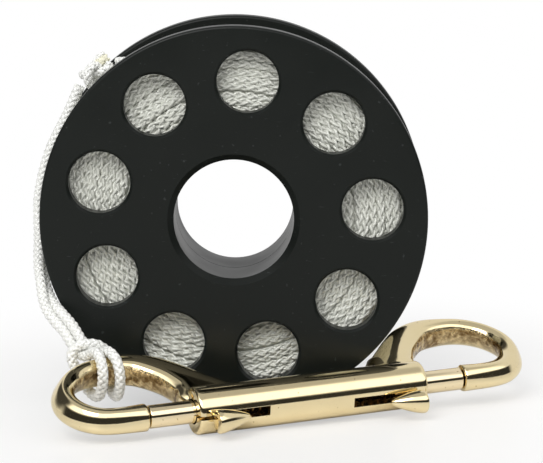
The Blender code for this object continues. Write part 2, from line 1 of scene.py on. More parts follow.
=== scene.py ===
# %% [markdown]
# # A finger spool with its line and bolt snap
#
# The model that comes in is a plain frame of solids: every piece is where it belongs and moves as it
# should. This lesson dresses that frame. Each cell below makes one piece or one finish, and says what
# the piece is on the real object and why it is made the way it is.

# %% Load the frame
import math

import bmesh
import bpy
import numpy as np
from mathutils import Matrix, Vector


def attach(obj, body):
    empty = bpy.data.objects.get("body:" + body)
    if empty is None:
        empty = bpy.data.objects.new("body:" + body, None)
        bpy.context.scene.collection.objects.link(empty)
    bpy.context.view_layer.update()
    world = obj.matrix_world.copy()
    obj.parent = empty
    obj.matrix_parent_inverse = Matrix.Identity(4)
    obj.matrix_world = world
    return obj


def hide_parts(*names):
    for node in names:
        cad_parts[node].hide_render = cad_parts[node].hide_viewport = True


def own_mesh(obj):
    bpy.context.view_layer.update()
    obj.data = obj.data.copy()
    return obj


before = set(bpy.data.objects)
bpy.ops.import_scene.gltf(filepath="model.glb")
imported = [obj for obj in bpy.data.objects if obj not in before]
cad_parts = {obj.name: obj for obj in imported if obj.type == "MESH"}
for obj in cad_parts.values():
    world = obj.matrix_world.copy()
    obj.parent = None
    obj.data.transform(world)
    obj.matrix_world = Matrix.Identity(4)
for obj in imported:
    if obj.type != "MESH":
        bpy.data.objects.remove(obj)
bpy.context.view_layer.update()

# %% [markdown]
# ## The camera
#
# A product photograph is taken with a long lens from a little above. A long lens keeps the spool's
# round flange round. The camera goes in first, because everything after it is judged through it.

# %% The camera
CAMERA_PLACE = (-0.0017, -0.59871, 0.14806)
CAMERA_TURN = tuple(math.radians(value) for value in (79.98, 0.197, 0.075))
CAMERA_LENS = 176.9
SENSOR_WIDTH = 36.0
NEAREST_SEEN = 0.02

scene = bpy.context.scene
camera_data = bpy.data.cameras.new("camera")
camera_data.lens = CAMERA_LENS
camera_data.sensor_width = SENSOR_WIDTH
camera_data.clip_start = NEAREST_SEEN
camera = bpy.data.objects.new("camera", camera_data)
camera.location = CAMERA_PLACE
camera.rotation_euler = CAMERA_TURN
scene.collection.objects.link(camera)
scene.camera = camera
scene.view_settings.view_transform = "Standard"
print("camera", round(Vector(CAMERA_PLACE).length, 3), "m from the middle of the table")

# %% [markdown]
# ## Helpers for node trees
#
# Materials, the world and Geometry Nodes are all graphs. A few small helpers keep their recipes short:
# one adds a node with its settings and inputs, and the others add the kinds that come up most. An
# input may be given a plain value or another node's output, which is then linked.

# %% Helpers for node trees
def set_input(tree, socket, value):
    if isinstance(value, bpy.types.NodeSocket):
        tree.links.new(value, socket)
    else:
        socket.default_value = value


def add_node(tree, kind, inputs=None, **settings):
    node = tree.nodes.new(kind)
    for name, value in settings.items():
        setattr(node, name, value)
    for name, value in (inputs or {}).items():
        set_input(tree, node.inputs[name], value)
    return node


def math_node(tree, operation, *values):
    node = add_node(tree, "ShaderNodeMath", operation=operation)
    for index, value in enumerate(values):
        set_input(tree, node.inputs[index], value)
    return node.outputs[0]


def vector_node(tree, operation, inputs):
    return add_node(tree, "ShaderNodeVectorMath", inputs, operation=operation).outputs[0]


def ramp(tree, value, start, end, low=0.0, high=1.0):
    """A smooth step of value from low at start to high at end."""
    inputs = {"Value": value, "From Min": start, "From Max": end, "To Min": low, "To Max": high}
    return add_node(tree, "ShaderNodeMapRange", inputs, interpolation_type="SMOOTHSTEP").outputs[0]


def mix_values(tree, factor, first, second):
    return add_node(tree, "ShaderNodeMix", {"Factor": factor, "A": first, "B": second}).outputs[0]


def mix_colours(tree, factor, first, second):
    node = add_node(tree, "ShaderNodeMix", data_type="RGBA")
    set_input(tree, node.inputs["Factor"], factor)
    for socket, colour in zip((node.inputs[6], node.inputs[7]), (first, second)):
        set_input(tree, socket, (*colour, 1.0) if isinstance(colour, tuple) else colour)
    return node.outputs[2]


print("helpers for nodes, sums, ramps and mixes are ready")

# %% [markdown]
# ## The light
#
# Polished brass shows its surroundings, so the surroundings matter as much as the lamps. The studio
# here is a white room with a dim ceiling and a bright soft panel high in front. A narrow low band
# behind the camera is dark, and it draws the thin dark line along the barrel. A dark screen stands
# at the left and gives the left eye its deep side. It is all painted on the world as a function of
# direction. One large lamp, high in front, lights the line through the holes.

# %% The light
SWEEP_LEVEL = 0.85
BAND_LEVEL = 0.035
PANEL_LEVEL = 1.75
CEILING_LEVEL = 0.55
SCREEN_LEVEL = 0.06
LOW_BAND = (-0.1, -0.02, 0.32, 0.42)
LOW_BAND_FRONT = (-0.2, 0.1)
PANEL_BAND = (0.38, 0.46, 0.84, 0.92)
PANEL_FRONT = (0.05, 0.35)
SCREEN_AIM = (-0.74, 0.37, 0.57)
SCREEN_EDGE = (0.82, 0.93)
LAMP_POWER = 5.0
LAMP_SIZE = 0.5
LAMP_PLACE = Vector((-0.3, -0.75, 0.75))
LAMP_AIM = Vector((0.0, 0.0, 0.03))
WHITE = (1.0, 1.0, 1.0, 1.0)

world = bpy.data.worlds.new("studio")
world.use_nodes = True
scene.world = world
tree = world.node_tree
direction = add_node(tree, "ShaderNodeTexCoord").outputs["Generated"]
axes = add_node(tree, "ShaderNodeSeparateXYZ", {"Vector": direction})
height = axes.outputs["Z"]
forward = math_node(tree, "MULTIPLY", axes.outputs["Y"], -1.0)
to_screen = add_node(tree, "ShaderNodeVectorMath", {0: direction, 1: SCREEN_AIM},
                     operation="DOT_PRODUCT").outputs["Value"]


def front_band(edges, front):
    """1 between the two middle heights of edges, on the side of the room behind the camera."""
    rise, fall = ramp(tree, height, *edges[:2]), ramp(tree, height, *edges[2:], 1.0, 0.0)
    return math_node(tree, "MULTIPLY", ramp(tree, forward, *front), math_node(tree, "MULTIPLY", rise, fall))


level = SWEEP_LEVEL
for factor, painted in ((front_band(LOW_BAND, LOW_BAND_FRONT), BAND_LEVEL),
                        (front_band(PANEL_BAND, PANEL_FRONT), PANEL_LEVEL),
                        (ramp(tree, height, *PANEL_BAND[2:]), CEILING_LEVEL),
                        (ramp(tree, to_screen, *SCREEN_EDGE), SCREEN_LEVEL),
                        (add_node(tree, "ShaderNodeLightPath").outputs["Is Camera Ray"], 1.0)):
    level = mix_values(tree, factor, level, painted)
background = tree.nodes["Background"]
set_input(tree, background.inputs["Strength"], level)
background.inputs["Color"].default_value = WHITE

lamp_data = bpy.data.lights.new("soft_lamp", "AREA")
lamp_data.energy = LAMP_POWER
lamp_data.size = LAMP_SIZE
lamp = bpy.data.objects.new("soft_lamp", lamp_data)
lamp.location = LAMP_PLACE
lamp.rotation_euler = (LAMP_AIM - LAMP_PLACE).to_track_quat("-Z", "Y").to_euler()
scene.collection.objects.link(lamp)
print("world painted by direction, one soft lamp of", LAMP_POWER, "W")

# %% [markdown]
# ## The table
#
# The floor is a pale sheet. Close to the object it is shaded by the light, so the soft shadow and the
# faint glow of the brass stay. Further off it fades to plain white for the camera alone, as an
# overexposed sweep does.

# %% The table
FLOOR_SIDE = 8.0
FADE_START = 0.06
FADE_END = 0.15
NEAR_WHITE = 0.5
TABLE_COLOUR = (0.88, 0.875, 0.865, 1.0)
TABLE_ROUGHNESS = 0.38

shape = bmesh.new()
bmesh.ops.create_grid(shape, x_segments=1, y_segments=1, size=FLOOR_SIDE / 2.0)
floor_mesh = bpy.data.meshes.new("floor")
shape.to_mesh(floor_mesh)
shape.free()
floor = bpy.data.objects.new("floor", floor_mesh)
scene.collection.objects.link(floor)

table_white = bpy.data.materials.new("table_white")
table_white.use_nodes = True
tree = table_white.node_tree
shader = tree.nodes["Principled BSDF"]
shader.inputs["Base Color"].default_value = TABLE_COLOUR
shader.inputs["Roughness"].default_value = TABLE_ROUGHNESS
place = add_node(tree, "ShaderNodeTexCoord").outputs["Object"]
distance = add_node(tree, "ShaderNodeVectorMath", {0: place}, operation="LENGTH").outputs["Value"]
fade = ramp(tree, distance, FADE_START, FADE_END, NEAR_WHITE, 1.0)
seen = add_node(tree, "ShaderNodeLightPath").outputs["Is Camera Ray"]
white = add_node(tree, "ShaderNodeEmission", {"Color": WHITE, "Strength": 1.0})
both = math_node(tree, "MULTIPLY", fade, seen)
mixed = add_node(tree, "ShaderNodeMixShader", {0: both, 1: shader.outputs[0], 2: white.outputs[0]})
tree.links.new(mixed.outputs[0], tree.nodes["Material Output"].inputs["Surface"])
floor_mesh.materials.append(table_white)
print("floor", FLOOR_SIDE, "m square, white beyond", FADE_END, "m")

# %% [markdown]
# ## Helpers for finishes
#
# Every finish is a Principled shader whose colour, roughness and bump come from noise, because one
# flat value is what makes a surface look like a toy. The noise reads the piece's own coordinates or an
# attribute of its mesh, so the pattern stays on the piece when it moves.

# %% Helpers for finishes
def new_finish(name, metallic=0.0):
    material = bpy.data.materials.new(name)
    material.use_nodes = True
    shader = material.node_tree.nodes["Principled BSDF"]
    shader.inputs["Metallic"].default_value = metallic
    return material, material.node_tree, shader


def set_finish(tree, shader, colour, roughness, normal):
    for name, value in (("Base Color", colour), ("Roughness", roughness), ("Normal", normal)):
        set_input(tree, shader.inputs[name], value)


def object_place(tree, scale=(1.0, 1.0, 1.0)):
    place = add_node(tree, "ShaderNodeTexCoord").outputs["Object"]
    return add_node(tree, "ShaderNodeMapping", {"Vector": place, "Scale": scale}).outputs[0]


def attribute_value(tree, name):
    return add_node(tree, "ShaderNodeAttribute", attribute_name=name).outputs["Fac"]


def noise(tree, vector, scale, detail=3.0, roughness=0.5):
    inputs = {"Vector": vector, "Scale": scale, "Detail": detail, "Roughness": roughness}
    return add_node(tree, "ShaderNodeTexNoise", inputs).outputs["Fac"]


def bump(tree, height, strength, distance, normal=None):
    inputs = {"Height": height, "Strength": strength, "Distance": distance}
    if normal:
        inputs["Normal"] = normal
    return add_node(tree, "ShaderNodeBump", inputs).outputs[0]


MID_NOISE = (0.3, 0.7)
print("noise from", MID_NOISE[0], "to", MID_NOISE[1], "is spread over a finish's range")

# %% [markdown]
# ## Black acetal
#
# The spool is moulded in black acetal, a hard and slightly waxy plastic. It has the fine grain of its
# mould, a few pale specks, and short light scratches from the snap.

# %% Black acetal
ACETAL_DARK = (0.005, 0.0066, 0.0056)
ACETAL_LIGHT = (0.0078, 0.0096, 0.008)
ACETAL_ROUGHNESS = (0.33, 0.43)
ACETAL_SPECULAR = 0.19
SCUFF_COLOUR = (0.09, 0.1, 0.1)
SCUFF_STRENGTH = 0.25
GRAIN_SCALE, CLOUD_SCALE, SPECK_SCALE, SCRATCH_SCALE = 2600.0, 60.0, 900.0, 420.0
SPECK_EDGE = (0.72, 0.78)
SCRATCH_EDGE = (0.69, 0.74)
SCRATCH_STRETCH = (1.0, 1.0, 7.0)
GRAIN_STRENGTH, GRAIN_DEPTH = 0.12, 0.00004

acetal, tree, shader = new_finish("black_acetal")
place = object_place(tree)
grain = noise(tree, place, GRAIN_SCALE, 2.0)
cloud = noise(tree, place, CLOUD_SCALE, 4.0)
specks = ramp(tree, noise(tree, place, SPECK_SCALE, 1.0), *SPECK_EDGE)
stretched = noise(tree, object_place(tree, SCRATCH_STRETCH), SCRATCH_SCALE, 2.0)
marks = math_node(tree, "MAXIMUM", specks, ramp(tree, stretched, *SCRATCH_EDGE))
tone = mix_colours(tree, cloud, ACETAL_DARK, ACETAL_LIGHT)
scuffed = mix_colours(tree, math_node(tree, "MULTIPLY", marks, SCUFF_STRENGTH), tone, SCUFF_COLOUR)
set_finish(tree, shader, scuffed, ramp(tree, cloud, *MID_NOISE, *ACETAL_ROUGHNESS),
           bump(tree, grain, GRAIN_STRENGTH, GRAIN_DEPTH))
shader.inputs["Specular IOR Level"].default_value = ACETAL_SPECULAR
print("finish", acetal.name)

# %% [markdown]
# ## White nylon
#
# The line is braided from glossy white fibres. Two attributes that the braid stores, along and around,
# keep the fibres in line with each yarn. The same recipe is used in three tints: the clean free end,
# the line wound on the hub, which is made darker and greyer as painted shade for the shadow it lies in
# inside the holes, and the cut end, which heat has sealed and yellowed.

# %% White nylon
NYLON_ROUGHNESS = 0.3
NYLON_SPECULAR = 0.8
NYLON_COAT, NYLON_COAT_ROUGHNESS = 0.5, 0.14
FIBRE_SCALE, TINT_SCALE = 1500.0, 160.0
FIBRE_SPREAD = 0.036
FIBRE_EDGE = (0.3, 0.6)
FIBRE_STRENGTH, FIBRE_DEPTH = 0.3, 0.00006


def nylon_finish(name, deep, light, bright):
    material, tree, shader = new_finish(name)
    across = math_node(tree, "MULTIPLY", attribute_value(tree, "around"), FIBRE_SPREAD)
    fibre_place = add_node(tree, "ShaderNodeCombineXYZ", {"X": attribute_value(tree, "along"), "Y": across})
    fibres = noise(tree, fibre_place.outputs[0], FIBRE_SCALE, 2.0)
    shade = mix_colours(tree, noise(tree, object_place(tree), TINT_SCALE, 2.0), light, bright)
    # darker where the fibre bump is low: painted shade in the hollows between fibres, over the fibres' own
    # tone
    set_finish(tree, shader, mix_colours(tree, ramp(tree, fibres, *FIBRE_EDGE), deep, shade),
               NYLON_ROUGHNESS, bump(tree, fibres, FIBRE_STRENGTH, FIBRE_DEPTH))
    shader.inputs["Specular IOR Level"].default_value = NYLON_SPECULAR
    shader.inputs["Coat Weight"].default_value = NYLON_COAT
    shader.inputs["Coat Roughness"].default_value = NYLON_COAT_ROUGHNESS
    return material


nylon = nylon_finish("white_nylon", (0.76, 0.765, 0.72), (0.88, 0.88, 0.84), (0.93, 0.935, 0.92))
# painted shade: the wound line is the same nylon made darker and greyer, for the shadow inside the holes
shaded_wound_nylon = nylon_finish("shaded_wound_nylon", (0.58, 0.59, 0.51), (0.73, 0.74, 0.67), (0.83, 0.84, 0.78))
sealed_nylon = nylon_finish("sealed_nylon", (0.74, 0.70, 0.50), (0.86, 0.84, 0.64), (0.90, 0.89, 0.74))
print("finishes", [material.name for material in (nylon, shaded_wound_nylon, sealed_nylon)])

# %% [markdown]
# ## Brass
#
# The snap is cast brass, hand polished outside and left as cast inside its eyes, where it is brown and
# pitted. The bolts are drawn rod, a little paler and smoother. Where the attribute as_cast is 1, the
# recipe mixes in the rough skin.

# %% Brass
BRASS_SPECK_COLOUR = (0.42, 0.31, 0.16)
SKIN_DARK, SKIN_LIGHT = (0.2, 0.12, 0.045), (0.84, 0.66, 0.37)
SKIN_ROUGHNESS = (0.14, 0.3)
SKIN_EDGE = (0.35, 0.7)
BRASS_CLOUD_SCALE, PIT_SCALE, FINE_SCALE, BRASS_SPECK_SCALE = 110.0, 620.0, 3800.0, 1500.0
BRASS_SPECK_EDGE = (0.73, 0.79)
PIT_STRENGTH, PIT_DEPTH = 0.9, 0.0006
RIPPLE_STRENGTH, RIPPLE_DEPTH = 0.05, 0.0006
FINE_STRENGTH, FINE_DEPTH = 0.03, 0.00003


def brass_finish(name, light, deep, low, high):
    material, tree, shader = new_finish(name, 1.0)
    place = object_place(tree)
    cast = attribute_value(tree, "as_cast")
    cloud = noise(tree, place, BRASS_CLOUD_SCALE, 3.0)
    pits = noise(tree, place, PIT_SCALE, 4.0, 0.6)
    fine = noise(tree, place, FINE_SCALE, 2.0)
    specks = ramp(tree, noise(tree, place, BRASS_SPECK_SCALE, 1.0), *BRASS_SPECK_EDGE)
    polished = mix_colours(tree, specks, mix_colours(tree, cloud, light, deep), BRASS_SPECK_COLOUR)
    skin = mix_colours(tree, ramp(tree, pits, *SKIN_EDGE), SKIN_DARK, SKIN_LIGHT)
    roughness = mix_values(tree, cast, ramp(tree, cloud, *MID_NOISE, low, high),
                           ramp(tree, pits, *MID_NOISE, *SKIN_ROUGHNESS))
    casting = bump(tree, pits, math_node(tree, "MULTIPLY", cast, PIT_STRENGTH), PIT_DEPTH)
    ripple = bump(tree, cloud, RIPPLE_STRENGTH, RIPPLE_DEPTH, casting)
    set_finish(tree, shader, mix_colours(tree, cast, polished, skin), roughness,
               bump(tree, fine, FINE_STRENGTH, FINE_DEPTH, ripple))
    return material


cast_brass = brass_finish("polished_cast_brass", (0.86, 0.735, 0.465), (0.79, 0.655, 0.385), 0.06, 0.12)
rod_brass = brass_finish("drawn_brass_rod", (0.88, 0.75, 0.51), (0.84, 0.70, 0.45), 0.05, 0.09)
print("finishes", [material.name for material in (cast_brass, rod_brass)])

# %% [markdown]
# ## Spring wire
#
# The springs only show as dark rings at the bottom of the slots, so their wire is a plain metal with
# the faint marks of drawing. Its dark brown is painted shade: the wire is coloured as dark as the
# shadowed bottom of the slot, far darker than the metal itself.

# %% Spring wire
# painted shade: both wire colours are darkened to the shadow at the bottom of the slots
SHADED_WIRE_DARK, SHADED_WIRE_LIGHT = (0.16, 0.09, 0.05), (0.30, 0.19, 0.10)
WIRE_ROUGHNESS = (0.25, 0.4)
WIRE_SCALE = 2200.0
WIRE_STRENGTH, WIRE_DEPTH = 0.1, 0.00003

steel, tree, shader = new_finish("shaded_spring_wire", 1.0)
drawn = noise(tree, object_place(tree), WIRE_SCALE, 2.0)
set_finish(tree, shader, mix_colours(tree, drawn, SHADED_WIRE_DARK, SHADED_WIRE_LIGHT),
           ramp(tree, drawn, *MID_NOISE, *WIRE_ROUGHNESS), bump(tree, drawn, WIRE_STRENGTH, WIRE_DEPTH))
print("finish", steel.name)

# %% [markdown]
# ## Where the pieces go
#
# Every piece below is modelled where it is easiest, about the spool's axis or along the barrel of the
# snap, and is then put in place by moving its mesh. Its object stays at the origin. Two matrices hold
# the two places.

# %% Where the pieces go
SPOOL_CENTRE = Vector((-0.011487, 0.017005, 0.0445))
SNAP_CENTRE = Vector((0.005113, -0.010645, 0.006015))
SNAP_YAW = math.radians(22.0)
SNAP_ROLL = math.radians(1.4)
SNAP_TILT = math.radians(20.0)

spool_matrix = Matrix.Translation(SPOOL_CENTRE) @ Matrix.Rotation(-math.pi / 2.0, 4, "X")
snap_matrix = (Matrix.Translation(SNAP_CENTRE) @ Matrix.Rotation(SNAP_YAW, 4, "Z")
               @ Matrix.Rotation(-SNAP_ROLL, 4, "Y") @ Matrix.Rotation(SNAP_TILT, 4, "X"))
for name, matrix in (("spool", spool_matrix), ("snap", snap_matrix)):
    print(name, "centre in mm:", [round(value * 1000.0, 1) for value in matrix.translation])

# %% [markdown]
# ## Helpers for making pieces
#
# Most pieces here are round about an axis, so a profile and a Screw modifier make them. Holes, bores
# and slots are cut with a Boolean, as a drill or a cutter would make them. Each modifier is turned into
# plain mesh at once. The last helper says of a finished piece which body it rides on and which solids
# it stands for.

# %% Helpers for making pieces
MERGE_DISTANCE = 0.000005
SHARP_ANGLE = 30.0


def new_piece(name, mesh):
    piece = bpy.data.objects.new(name, mesh)
    scene.collection.objects.link(piece)
    return piece


def shape_piece(name, shape):
    """A piece from a bmesh, which is freed."""
    mesh = bpy.data.meshes.new(name)
    shape.to_mesh(mesh)
    shape.free()
    return new_piece(name, mesh)


def plain_mesh(piece):
    graph = bpy.context.evaluated_depsgraph_get()
    return bpy.data.meshes.new_from_object(piece.evaluated_get(graph))


def bake(piece):
    """Turn the piece's modifiers into plain mesh."""
    mesh = plain_mesh(piece)
    piece.modifiers.clear()
    piece.data = mesh
    return mesh


def smooth(mesh, degrees=SHARP_ANGLE):
    mesh.shade_smooth()
    mesh.set_sharp_from_angle(angle=math.radians(degrees))


def only_finish(mesh, finish):
    mesh.materials.clear()
    mesh.materials.append(finish)


def turned(name, profile, steps, finish=None, closed=False):
    """A profile given as radius and height, from the top down its outer side, turned about Z."""
    outline = bpy.data.meshes.new(name)
    edges = [(index, index + 1) for index in range(len(profile) - 1)]
    if closed:
        edges.append((len(profile) - 1, 0))
    outline.from_pydata([(radius, 0.0, height) for radius, height in profile], edges, [])
    piece = new_piece(name, outline)
    screw = piece.modifiers.new("turn", "SCREW")
    screw.steps = screw.render_steps = steps
    screw.use_merge_vertices = True
    screw.merge_threshold = MERGE_DISTANCE
    mesh = bake(piece)
    if finish:
        mesh.materials.append(finish)
    smooth(mesh)
    return piece


def rounded_side(radius, top, bottom, rounding, steps):
    """A profile down the side of a disc or a rod, with both of its edges rounded."""
    side = []
    for height, start in ((top - rounding, 90.0), (bottom + rounding, 0.0)):
        for angle in (math.radians(start - 90.0 * index / steps) for index in range(steps + 1)):
            side.append((radius - rounding + rounding * math.cos(angle),
                         height + rounding * math.sin(angle)))
    return side


def rod(name, radius, top, bottom, steps, finish=None, edge=None):
    """A closed rod about Z. An edge is given as a rounding and its count of steps."""
    side = rounded_side(radius, top, bottom, *edge) if edge else [(radius, top), (radius, bottom)]
    return turned(name, [(0.0, top), *side, (0.0, bottom)], steps, finish)


def combine(piece, other, operation, solver="EXACT"):
    modifier = piece.modifiers.new(operation.lower(), "BOOLEAN")
    modifier.operation = operation
    modifier.solver = solver
    modifier.object = other
    mesh = bake(piece)
    bpy.data.objects.remove(other, do_unlink=True)
    return mesh


def settle(piece, body, nodes):
    """The last step of each piece."""
    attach(piece, body)
    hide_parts(*nodes)
    print(piece.name, len(piece.data.polygons), "faces")


print("turned shapes merge points closer than", round(MERGE_DISTANCE * 1000.0, 3), "mm")

# %% [markdown]
# ## Helpers for Geometry Nodes
#
# Three things here follow a rule and are left to Geometry Nodes: the ring of holes, the braid of the
# line and the coils of the springs. Each tree opens with named inputs for its counts and sizes, and
# closes by making its copies real and giving them their material.

# %% Helpers for Geometry Nodes
def open_tree(name, counts, sizes):
    tree = bpy.data.node_groups.new(name, "GeometryNodeTree")
    for way in ("OUTPUT", "INPUT"):
        tree.interface.new_socket("Geometry", in_out=way, socket_type="NodeSocketGeometry")
    for kind, values in (("NodeSocketInt", counts), ("NodeSocketFloat", sizes)):
        for label, value in values.items():
            tree.interface.new_socket(label, in_out="INPUT", socket_type=kind).default_value = value
    return tree, add_node(tree, "NodeGroupInput").outputs


def close_tree(tree, geometry, finish):
    real = add_node(tree, "GeometryNodeRealizeInstances", {0: geometry})
    named = add_node(tree, "GeometryNodeSetMaterial", {"Geometry": real.outputs[0], "Material": finish})
    add_node(tree, "NodeGroupOutput", {"Geometry": named.outputs[0]})
    return tree


def add_tree(piece, tree, values):
    """Put a tree on an object and set each of its inputs by the socket's identifier."""
    modifier = piece.modifiers.new(tree.name, "NODES")
    modifier.node_group = tree
    for socket in tree.interface.items_tree:
        if socket.in_out == "INPUT" and socket.socket_type != "NodeSocketGeometry":
            modifier[socket.identifier] = values.get(socket.name, socket.default_value)


print("helpers to open, close and use a tree are ready")

# %% [markdown]
# ## The spool's halves
#
# Each half is a turned moulding: a flange with a soft rim, and its share of the hub. Nine holes go
# through each flange, each with a small chamfer. The holes repeat, so Geometry Nodes place the nine
# cutters on their circle, and one Boolean cuts them all.

# %% The spool's halves
FLANGE_RADIUS = 0.0445
FLANGE_THICKNESS = 0.0042
HALF_WIDTH = 0.01465
BORE_RADIUS = 0.0138
BORE_CHAMFER = 0.0014
HUB_RADIUS = 0.017
RIM_EDGE = (0.0007, 8)
SEAM = 0.0003
SPIGOT_LENGTH = 0.0045
SPIGOT_RADIUS = (BORE_RADIUS + HUB_RADIUS) / 2.0
HOLE_COUNT = 9
HOLE_RADIUS = 0.0071
HOLE_CIRCLE = 0.0319
HOLE_CHAMFER = 0.0006
HOLE_OVERRUN = 0.002
HOLE_STEPS = 64
FIRST_HOLE = math.radians(-124.0)
SPOOL_STEPS = 180


def ring_tree():
    """A tree that places copies of its input evenly on a circle."""
    tree, given = open_tree("ring_of_copies", {"Count": HOLE_COUNT},
                            {"Circle Radius": HOLE_CIRCLE, "First Angle": FIRST_HOLE})
    points = add_node(tree, "GeometryNodePoints", {"Count": given["Count"]})
    index = add_node(tree, "GeometryNodeInputIndex").outputs[0]
    step = math_node(tree, "DIVIDE", math.tau, given["Count"])
    angle = math_node(tree, "MULTIPLY_ADD", index, step, given["First Angle"])
    spot = add_node(tree, "ShaderNodeCombineXYZ", {
        "X": math_node(tree, "MULTIPLY", math_node(tree, "COSINE", angle), given["Circle Radius"]),
        "Y": math_node(tree, "MULTIPLY", math_node(tree, "SINE", angle), given["Circle Radius"])})
    placed = add_node(tree, "GeometryNodeSetPosition",
                      {"Geometry": points.outputs[0], "Position": spot.outputs[0]})
    copies = add_node(tree, "GeometryNodeInstanceOnPoints",
                      {"Points": placed.outputs[0], "Instance": given["Geometry"]})
    return close_tree(tree, copies.outputs[0], acetal)


def spool_half(name, profile, outward, node):
    half = turned(name, profile, SPOOL_STEPS, acetal, closed=True)
    face = outward * HALF_WIDTH
    overrun = outward * HOLE_OVERRUN
    inside = face - outward * FLANGE_THICKNESS - overrun
    hole = [(0.0, face + overrun), (HOLE_RADIUS + HOLE_CHAMFER + HOLE_OVERRUN, face + overrun),
            (HOLE_RADIUS, face - outward * HOLE_CHAMFER), (HOLE_RADIUS, inside), (0.0, inside)]
    cutter = turned(f"{name}_cutters", hole if outward > 0.0 else hole[::-1], HOLE_STEPS)
    add_tree(cutter, hole_ring, {})
    bake(cutter)
    mesh = combine(half, cutter, "DIFFERENCE")
    only_finish(mesh, acetal)
    smooth(mesh)
    mesh.transform(spool_matrix)
    settle(half, "spool", [node])


hole_ring = ring_tree()
inner_face = HALF_WIDTH - FLANGE_THICKNESS
front_profile = [
    (HUB_RADIUS, SPIGOT_LENGTH), (HUB_RADIUS, -inner_face),
    *rounded_side(FLANGE_RADIUS, -inner_face, -HALF_WIDTH, *RIM_EDGE),
    (BORE_RADIUS + BORE_CHAMFER, -HALF_WIDTH), (BORE_RADIUS, -HALF_WIDTH + BORE_CHAMFER),
    (BORE_RADIUS, 0.0), (SPIGOT_RADIUS, 0.0), (SPIGOT_RADIUS, SPIGOT_LENGTH)]
rear_profile = [
    *rounded_side(FLANGE_RADIUS, HALF_WIDTH, inner_face, *RIM_EDGE),
    (HUB_RADIUS, inner_face), (HUB_RADIUS, SPIGOT_LENGTH + SEAM),
    (SPIGOT_RADIUS - SEAM, SPIGOT_LENGTH + SEAM), (SPIGOT_RADIUS - SEAM, SEAM), (BORE_RADIUS, SEAM),
    (BORE_RADIUS, HALF_WIDTH - BORE_CHAMFER), (BORE_RADIUS + BORE_CHAMFER, HALF_WIDTH)]
spool_half("front_moulding", front_profile, -1.0, "front_half")
spool_half("rear_moulding", rear_profile, 1.0, "rear_half")

# %% [markdown]
# ## A braid that follows any path
#
# The line is a round braid of eight yarns. Four run one way round and four the other, and each passes
# over and under in turn. That is a rule, so Geometry Nodes make it: the path is copied once for each
# yarn, every copy is wound about the path with its radius rising and falling, and a flat oval is swept
# along it. A plain heart fills the middle. The same tree then braids every stretch of line.

# %% A braid that follows any path
YARNS = 8
YARN_SIDES = 4
HEART_SIDES = 6
BRAID_SIZES = {
    "Pitch": 0.0056, "Braid Radius": 0.00072, "Weave Depth": 0.00012, "Yarn Width": 0.00041,
    "Yarn Thickness": 0.00029, "Step": 0.0005, "Heart Radius": 0.0008}


def keep(tree, geometry, name, value, kind="FLOAT"):
    """Store a value on the points under a name, for a later node or for the material."""
    return add_node(tree, "GeometryNodeStoreNamedAttribute",
                    {"Geometry": geometry, "Name": name, "Value": value},
                    data_type=kind, domain="POINT").outputs[0]


def sweep(tree, path, section):
    return add_node(tree, "GeometryNodeCurveToMesh",
                    {"Curve": path, "Profile Curve": section, "Fill Caps": True}).outputs[0]


